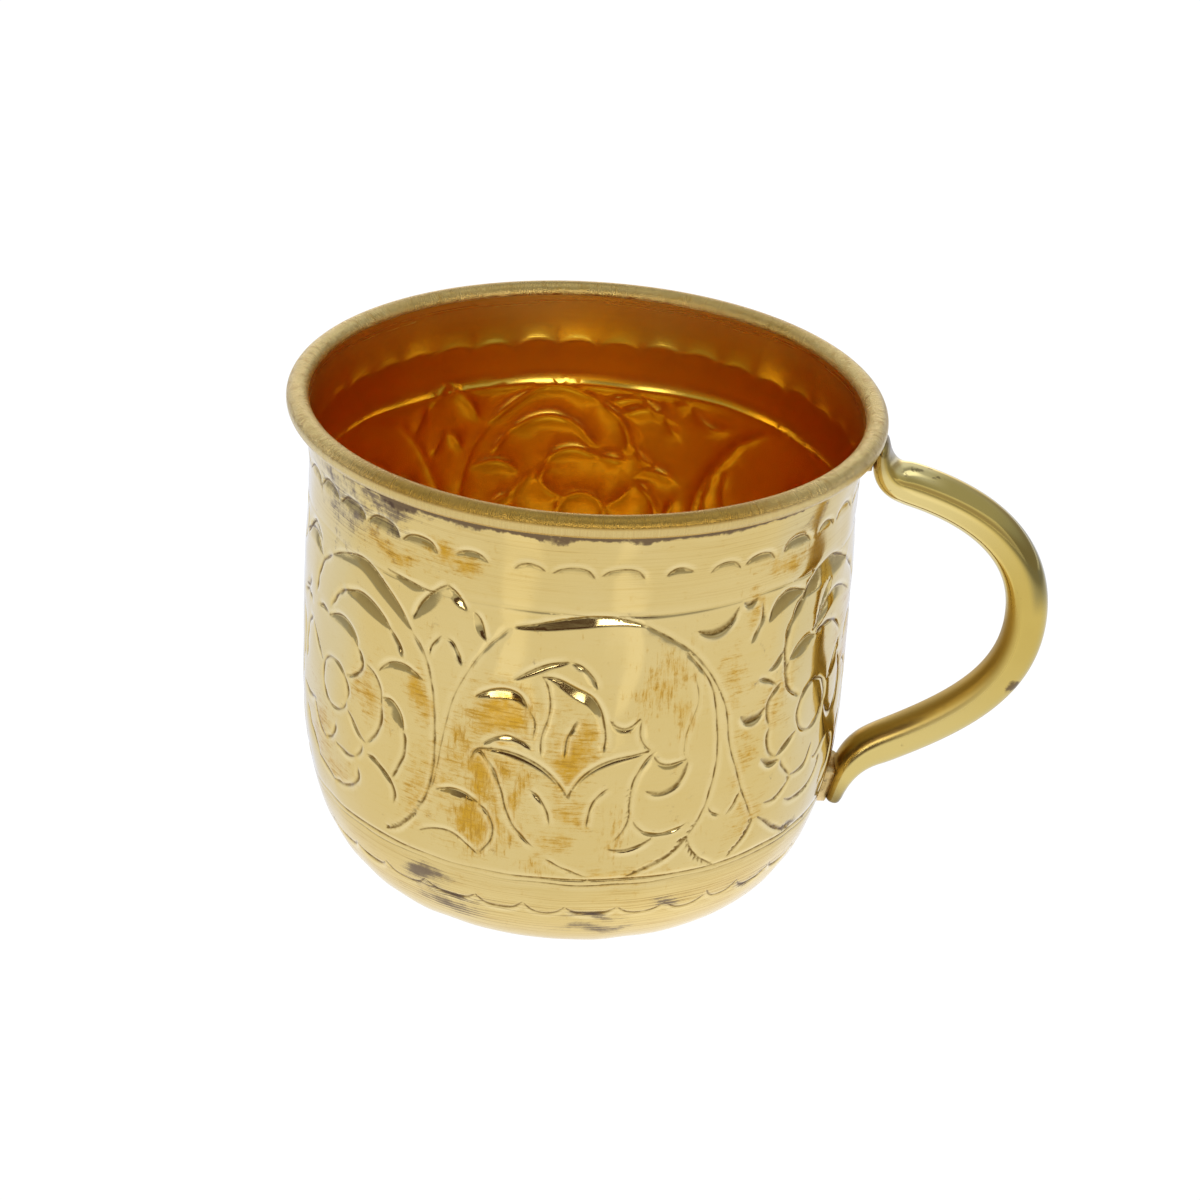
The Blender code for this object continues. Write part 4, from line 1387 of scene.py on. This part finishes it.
def make_cup_body():
    """Raise the worked outer face, the rolled rim, the inside and the base, and close them into one sheet."""
    tree = raising_tree()
    outer, bead, inner = chased_brass(), brushed_bead(), inner_brass()
    points, faces, values = outer_blank()
    lip = rim_profile()
    bottom = np.array([INSIDE[-1], INSIDE[-1] / (2, 1), (0.0, SHEET)])
    base = base_profile()
    blanks = (
        ("outer_face", OUTER, outer, (points, faces), values | worn_values(points)),
        ("bead", lip, bead, strip(run_along(lip)), {}),
        ("inside", INSIDE, inner, inner_blank(), {}),
        ("inside_floor", bottom, inner, strip(np.linspace(0, run_along(bottom)[-1], FLOOR_ROWS)), {}),
        ("base", base, outer, strip(np.linspace(0, run_along(base)[-1], FLOOR_ROWS)), {}),
    )
    shells = []
    for name, line, finish, blank, marks in blanks:
        profile = profile_curve("profile", line)
        shells.append(shaped(blank_object(name, *blank, marks), tree, {
            "Profile": profile, "Drawn Radius": DRAWN_RADIUS * MM, "Finish": finish}))
        bpy.data.objects.remove(profile)
    return closed_up(shells, "chased_cup")


# Handle: middle line and sections, in millimetres, as the construction has them
HANDLE_REACH = 30.0
BOW_DROP = 31.2
BOW_FULLNESS = 1.08
SHOULDER_OUT = 6.6
SHOULDER_DROP = 10.7
SHOULDER_SLOPE = radians(-13)
RETURN_OUT = 6.4
RETURN_DROP = 55.8
RETURN_SLOPE = radians(-151)
FOOT_DROP = 65.6
ROD_THICKNESS = 6.4
ROD_WIDTH = 6.6
ROD_SQUARENESS = 2.3
TONGUE_WIDTH = 8.4
UPPER_TONGUE = 2.2
UPPER_LENGTH = 5.2
LOWER_TONGUE = 3.0
LOWER_LENGTH = 7.0
TONGUE_FADE = 2
END_ROUND = 1.4
LEAST_ROUND = 0.02
SEAT = 1.0
HANDLE_RINGS = 180
HANDLE_SIDES = 48
PATH_STEPS = 64


def wall_point(drop, out):
    """A point in the handle's plane, given below the rim's top and outside the wall."""
    height = CUP_HEIGHT - drop
    return Vector((wall_radius(height) + out, 0, height))


def slope(angle):
    """Unit vector in the handle's plane, at an angle above +X."""
    return Vector((cos(angle), 0, sin(angle)))


def handle_path():
    """Middle line of the handle as a Bezier curve, from the bead down to the foot."""
    foot_out = SEAT + LOWER_TONGUE / 2
    top_drop = 2 * BEAD_RADIUS + FIT_GAP
    bow_radius = BELT_RADIUS + HANDLE_REACH - ROD_THICKNESS / 2
    foot = wall_point(FOOT_DROP, foot_out)
    knots = [
        (wall_point(top_drop, SEAT + UPPER_TONGUE / 2), slope(-pi / 2)),
        (wall_point(SHOULDER_DROP, SHOULDER_OUT), slope(SHOULDER_SLOPE)),
        (Vector((bow_radius, 0, CUP_HEIGHT - BOW_DROP)), slope(-pi / 2)),
        (wall_point(RETURN_DROP, RETURN_OUT), slope(RETURN_SLOPE)),
        (foot, (foot - wall_point(FOOT_DROP - LOWER_LENGTH, foot_out)).normalized()),
    ]
    curve = bpy.data.curves.new("handle_line", "CURVE")
    curve.dimensions = "3D"
    curve.resolution_u = PATH_STEPS
    spline = curve.splines.new("BEZIER")
    spline.bezier_points.add(len(knots) - 1)
    for knot, (place, way) in zip(spline.bezier_points, knots):
        knot.handle_left_type = knot.handle_right_type = "FREE"
        knot.co = place * MM
        knot.handle_left = knot.handle_right = place * MM
    for index in range(len(knots) - 1):
        (start, start_way), (end, end_way) = knots[index:index + 2]
        pull = BOW_FULLNESS * (end - start).length / (1.5 * (1 + cos(start_way.angle(end_way) / 2)))
        spline.bezier_points[index].handle_right = (start + pull * start_way) * MM
        spline.bezier_points[index + 1].handle_left = (end - pull * end_way) * MM
    return add_object("polished_handle", curve)


def handle_tree():
    """Sweeps a slightly squared round along the handle's line, flattened to a tongue at each end."""
    sizes = ("Rod Thickness", "Rod Width", "Squareness", "Tongue Width", "Upper Tongue", "Upper Length",
             "Lower Tongue", "Lower Length", "End Round")
    kinds = {size: "NodeSocketFloat" for size in sizes}
    kinds |= {"Rings": "NodeSocketInt", "Sides": "NodeSocketInt", "Finish": "NodeSocketMaterial"}
    nodes, given = geometry_tree("swept_handle", kinds)
    path = nodes.node("GeometryNodeResampleCurve", {"mode": "COUNT"},
                      {"Curve": given, "Count": given.out("Rings")})
    run = nodes.node("GeometryNodeSplineParameter", output="Length")
    whole = nodes.node("GeometryNodeSplineLength", output="Length")
    kept = {
        "centre": ("FLOAT_VECTOR", nodes.node("GeometryNodeInputPosition")),
        "way": ("FLOAT_VECTOR", nodes.node("GeometryNodeInputTangent")),
        "run": ("FLOAT", run),
        "left": ("FLOAT", whole - run),
        "travel": ("FLOAT", run / whole),
    }
    for label, (kind, value) in kept.items():
        path = nodes.node("GeometryNodeStoreNamedAttribute", {"data_type": kind, "domain": "POINT"},
                          {"Geometry": path, "Name": label, "Value": value})
    ring = nodes.node("GeometryNodeCurvePrimitiveCircle", {"mode": "RADIUS"},
                      {"Resolution": given.out("Sides"), "Radius": MM})
    tube = nodes.node("GeometryNodeCurveToMesh", inputs={
        "Curve": path, "Profile Curve": ring, "Fill Caps": True})

    def stored(label):
        return nodes.node("GeometryNodeInputNamedAttribute", {"data_type": kept[label][0]}, {"Name": label})

    centre = stored("centre")
    way_x, _, way_z = nodes.parts(stored("way"))
    off = nodes.vectors("SUBTRACT", nodes.node("GeometryNodeInputPosition"), centre)
    out_x, out_y, out_z = nodes.parts(off)
    outwards = (out_z * way_x - out_x * way_z) / MM
    sideways = out_y / MM
    tube = nodes.node("GeometryNodeStoreNamedAttribute", {"data_type": "FLOAT", "domain": "POINT"},
                      {"Geometry": tube, "Name": "outer", "Value": outwards})
    power = given.out("Squareness")
    size = (abs(outwards) ** power + abs(sideways) ** power) ** (-1 / power)
    upper = 1 - (stored("run") / given.out("Upper Length")).step(0, TONGUE_FADE)
    lower = 1 - (stored("left") / given.out("Lower Length")).step(0, TONGUE_FADE)
    rod = given.out("Rod Thickness")
    thickness = rod - upper * (rod - given.out("Upper Tongue")) - lower * (rod - given.out("Lower Tongue"))
    width = given.out("Rod Width") + (upper + lower) * (given.out("Tongue Width") - given.out("Rod Width"))
    near_end = (stored("run").least(stored("left")) / given.out("End Round")).least(1)
    rounding = (near_end * (2 - near_end)).most(LEAST_ROUND) ** 0.5
    offset_out = outwards * size * thickness * rounding / 2
    offset_side = sideways * size * width * rounding / 2
    offset = nodes.vector(0 - offset_out * way_z, offset_side, offset_out * way_x)
    place = nodes.vectors("ADD", centre, offset)
    moved = nodes.node("GeometryNodeSetPosition", inputs={"Geometry": tube, "Position": place})
    smooth = nodes.node("GeometryNodeSetShadeSmooth", inputs={"Geometry": moved, "Shade Smooth": True})
    return end_tree(nodes, smooth, given.out("Finish"))


def make_handle():
    """The handle's rod, swept along its line."""
    sizes = {
        "Rod Thickness": ROD_THICKNESS, "Rod Width": ROD_WIDTH, "Tongue Width": TONGUE_WIDTH,
        "Upper Tongue": UPPER_TONGUE, "Upper Length": UPPER_LENGTH, "Lower Tongue": LOWER_TONGUE,
        "Lower Length": LOWER_LENGTH, "End Round": END_ROUND,
    }
    values = {name: size * MM for name, size in sizes.items()}
    values |= {"Squareness": ROD_SQUARENESS, "Rings": HANDLE_RINGS, "Sides": HANDLE_SIDES}
    handle = shaped(handle_path(), handle_tree(), values | {"Finish": cast_brass()})
    return closed_up([handle], "polished_handle")


# Brazed seams: filler that fills the gap under a tongue and runs out on the wall, from one depth to another
UPPER_SEAM = (3.9, 8.4)
LOWER_SEAM = (58.8, 65.2)
FILLET = 1.0
SUNK = 0.4
BACKING = 0.05
FILLER_RISE = 1.35
FILLER_INSET = 0.7
FILLER_CORNER = 1.2
FILLER_OVERLAP = 0.3
FILLER_RAGGED = 0.25
FILLER_ROWS = 40
FILLER_COLUMNS = 34
BELOW_BEAD = 2 * BEAD_RADIUS + 0.05


def make_braze(name, top_drop, bottom_drop, material):
    """A pad of filler on the wall under a tongue, thinning to nothing round it in a hollow fillet."""
    rows, columns = FILLER_ROWS, FILLER_COLUMNS
    half_wide = TONGUE_WIDTH / 2 - FILLER_INSET
    middle = (top_drop + bottom_drop) / 2
    half_high = (bottom_drop - top_drop) / 2
    rng = np.random.default_rng(SEED + len(name))
    waves = rng.uniform(0, tau, 2)
    shape = bmesh.new()
    upper, lower = [], []
    for row in range(rows + 1):
        high = (2 * row / rows - 1) * (half_high + FILLET)
        drop = max(middle + high, BELOW_BEAD)
        base = wall_point(drop, 0)
        ahead = wall_point(drop + 0.1, 0) - wall_point(drop - 0.1, 0)
        outwards = Vector((-ahead.z, 0, ahead.x)).normalized()
        upper.append([])
        lower.append([])
        for column in range(columns + 1):
            wide = (2 * column / columns - 1) * (half_wide + FILLET)
            past_side = max(abs(wide) - half_wide + FILLER_CORNER, 0)
            past_end = max(abs(high) - half_high + FILLER_CORNER, 0)
            gap = np.hypot(past_side, past_end) - FILLER_CORNER
            ragged = FILLER_RAGGED * sin(1.7 * wide + waves[0]) * sin(1.3 * high + waves[1])
            share = np.clip((gap + FILLER_OVERLAP) / (FILLET + ragged), 0, 1)
            rise = float(-SUNK + (FILLER_RISE + SUNK) * (1 - share) ** 2)
            turn = Matrix.Rotation(wide / base.x, 3, "Z")
            upper[-1].append(shape.verts.new(turn @ (base + rise * outwards) * MM))
            lower[-1].append(shape.verts.new(turn @ (base - (SUNK + BACKING) * outwards) * MM))
    for grid in (upper, lower):
        for row in range(rows):
            for column in range(columns):
                near, far = grid[row], grid[row + 1]
                shape.faces.new((near[column], near[column + 1], far[column + 1], far[column]))
    edge = [(0, column) for column in range(columns)] + [(row, columns) for row in range(rows)]
    edge += [(rows, column) for column in range(columns, 0, -1)] + [(row, 0) for row in range(rows, 0, -1)]
    for (row, column), (to_row, to_column) in zip(edge, edge[1:] + edge[:1]):
        shape.faces.new((upper[row][column], upper[to_row][to_column],
                         lower[to_row][to_column], lower[row][column]))
    bmesh.ops.recalc_face_normals(shape, faces=shape.faces)
    mesh = bpy.data.meshes.new(name)
    shape.to_mesh(mesh)
    shape.free()
    mesh.materials.append(material)
    mesh.shade_smooth()
    return add_object(name, mesh)


# Floor, in metres and radians: it glows, and as the cup mirrors it, its painted light has a bright pool, a
# pale backdrop, two streaks in front and a glow by the foot
FLOOR_SIZE = 3
FLOOR_HEIGHT = -0.0002
POOL_PEAK = 1.4
POOL_LEVEL = 0.91
POOL_EDGE = (0.19, 0.45)
BACKDROP_START = (0.25, 0.6)
STREAK = 0.14
STREAK_START = (0.095, 0.125)
STREAK_SOURCE = 0.02
RIGHT_STREAK = (0.33, 0.38, 0.48, 0.55)
LEFT_STREAK = (0.18, 0.3, 0.45, 0.48)
FOOT_GLOW = (0.034, 0.052)
RIGHT_GLOW = (0.042, 0.056)
COOL_START = (-0.03, 0.02)
COOL_FLOOR = (0.95, 1, 1.16, 1)
BURNT_OUT = 1.05
BLACK = (0, 0, 0, 1)
WHITE = (1, 1, 1, 1)


def make_floor():
    """Floor that glows with painted light, brightest in a pool round the cup; the lens sees all of it burnt
    out to white.
    """
    material, nodes, place = finish_nodes("white_floor")
    x, y, _ = nodes.parts(place)
    away = (x * x + y * y) ** 0.5
    level = POOL_LEVEL - 0.5 * away.step(*POOL_EDGE) + 0.7 * y.step(*BACKDROP_START)
    bearing = x.maths("ARCTAN2", x, 0 - y - STREAK_SOURCE)
    streaks = bearing.band(*RIGHT_STREAK) + (0 - bearing).band(*LEFT_STREAK)
    level = level + STREAK * streaks * (0 - y).step(*STREAK_START)
    level = level * (1.12 - 0.12 * away.step(*FOOT_GLOW))
    level = level * (1 + 0.1 * x.step(0.0, 0.02) * (1 - away.step(*RIGHT_GLOW)))
    tint = nodes.blend(y.step(*COOL_START), WHITE, COOL_FLOOR)
    pool = nodes.blend(level / POOL_PEAK, BLACK, tint)
    mirrored = nodes.node("ShaderNodeEmission", inputs={"Color": pool, "Strength": POOL_PEAK})
    burnt_out = nodes.node("ShaderNodeEmission", inputs={"Color": WHITE, "Strength": BURNT_OUT})
    seen = nodes.node("ShaderNodeLightPath", output="Is Camera Ray")
    surface = nodes.node("ShaderNodeMixShader", inputs={0: seen, 1: mirrored, 2: burnt_out})
    nodes.node("ShaderNodeOutputMaterial", inputs={"Surface": surface})
    shape = bmesh.new()
    bmesh.ops.create_grid(shape, x_segments=1, y_segments=1, size=FLOOR_SIZE)
    mesh = bpy.data.meshes.new("floor")
    shape.to_mesh(mesh)
    shape.free()
    mesh.materials.append(material)
    floor = add_object("floor", mesh)
    floor.location.z = FLOOR_HEIGHT


LIGHT_DISTANCE = 0.9
LIGHT_AIM = Vector((0, 0, 0.04))


def make_softbox(name, azimuth, elevation, size, power, lit=()):
    """An area light that faces the cup, at an azimuth from the camera's side towards the handle; it may light
    some pieces alone."""
    light = bpy.data.lights.new(name, "AREA")
    light.shape = "RECTANGLE"
    light.size, light.size_y = size
    light.energy = power
    lamp = add_object(name, light)
    way = Vector((sin(azimuth) * cos(elevation), -cos(azimuth) * cos(elevation), sin(elevation)))
    lamp.location = way * LIGHT_DISTANCE + LIGHT_AIM
    lamp.rotation_euler = way.to_track_quat("Z", "Y").to_euler()
    if lit:
        group = bpy.data.collections.new(f"{name}_lights")
        for piece in lit:
            group.objects.link(piece)
        lamp.light_linking.receiver_collection = group


# Room that the cup mirrors, by the direction's three parts
ROOM_PEAK = 3.0
ROOM_LEVEL = 0.38
LOW_ROOM = (1.06, 1, 0.86, 1)
HIGH_ROOM = (0.93, 1, 1.12, 1)
DARK_ROOM = (0.027, 0.015, 0.01, 1)
FRONT_SIDE = (0.72, 0.88)
FRONT_TOP = (0.22, 0.36)
BACK_LOW = (0.0, 0.5)
BACK_TOP = (0.1, 0.3)
BACK_HIGH = (0.6, 0.9)
BACK_END = (0.1, 0.5)
OVERHEAD = (0.88, 0.97)


def make_world():
    """Studio surroundings: a dim room behind the camera, paler at the sides and behind the cup."""
    world = bpy.data.worlds.new("studio")
    bpy.context.scene.world = world
    world.use_nodes = True
    world.node_tree.nodes.clear()
    nodes = Nodes(world.node_tree)
    x, y, z = nodes.parts(nodes.node("ShaderNodeTexCoord", output="Generated"))
    front = (0 - y).step(*FRONT_SIDE) * (1 - z.step(*FRONT_TOP))
    backdrop = y.step(*BACK_LOW) * (1 - z.step(*BACK_TOP)) + y.step(*BACK_HIGH) * 0.5
    backdrop = backdrop * (1 - x.step(*BACK_END))
    right_wall = x.step(0.1, 0.4) * z.step(0.15, 0.5)
    light = ROOM_LEVEL + right_wall * 0.2 + backdrop * 0.9 + z.step(*OVERHEAD)
    tint = nodes.blend(z.step(0.15, 0.45), LOW_ROOM, HIGH_ROOM)
    colour = nodes.blend(front, nodes.blend(light / ROOM_PEAK, BLACK, tint), DARK_ROOM)
    glow = nodes.node("ShaderNodeBackground", inputs={"Color": colour, "Strength": ROOM_PEAK})
    nodes.node("ShaderNodeOutputWorld", inputs={"Surface": glow})


def make_camera():
    """Camera as fitted to the photograph: a long lens from the front, a little above, slightly rolled."""
    right = Vector((cos(AZIMUTH), sin(AZIMUTH), 0))
    back = Vector((sin(AZIMUTH) * cos(ELEVATION), -cos(AZIMUTH) * cos(ELEVATION), sin(ELEVATION)))
    up = back.cross(right)
    aim = AIM_RIGHT * right + Vector((0, 0, CUP_HEIGHT * MM - AIM_BELOW_RIM))
    rolled_right = cos(ROLL) * right + sin(ROLL) * up
    rolled_up = cos(ROLL) * up - sin(ROLL) * right
    data = bpy.data.cameras.new("camera")
    data.lens = LENS_MM
    data.sensor_width = SENSOR_MM
    data.clip_start = NEAREST_SEEN
    camera = add_object("camera", data)
    turn = Matrix((rolled_right, rolled_up, back)).transposed().to_4x4()
    camera.matrix_world = Matrix.Translation(aim + CAMERA_DISTANCE * back) @ turn
    bpy.context.scene.camera = camera


def dress(piece, node):
    """Set a finished piece on the cup in place of its plain solid."""
    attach(piece, "root")
    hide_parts(node)


# Reflections that the cup's inside and its facets pass on to each other
BOUNCES = 16
GLOSSY_BOUNCES = 14

cup = make_cup_body()
dress(cup, "cup_body")
handle = make_handle()
dress(handle, "handle")
filler = brazing_filler()
dress(make_braze("upper_fillet", *UPPER_SEAM, filler), "upper_braze")
dress(make_braze("lower_fillet", *LOWER_SEAM, filler), "lower_braze")
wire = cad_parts["rim_wire"]
wire.material_slots[0].material = drawn_brass()
make_floor()
make_world()
make_softbox("left_softbox", radians(-26), radians(22), (0.18, 0.42), 1.1)
make_softbox("right_softbox", radians(21), radians(22), (0.3, 0.42), 1.83, [cup])
make_softbox("handle_card", radians(24), radians(12), (0.8, 0.45), 0.52, [handle])
make_camera()
bpy.context.scene.view_settings.view_transform = "Standard"
bpy.context.scene.cycles.max_bounces = BOUNCES
bpy.context.scene.cycles.glossy_bounces = GLOSSY_BOUNCES
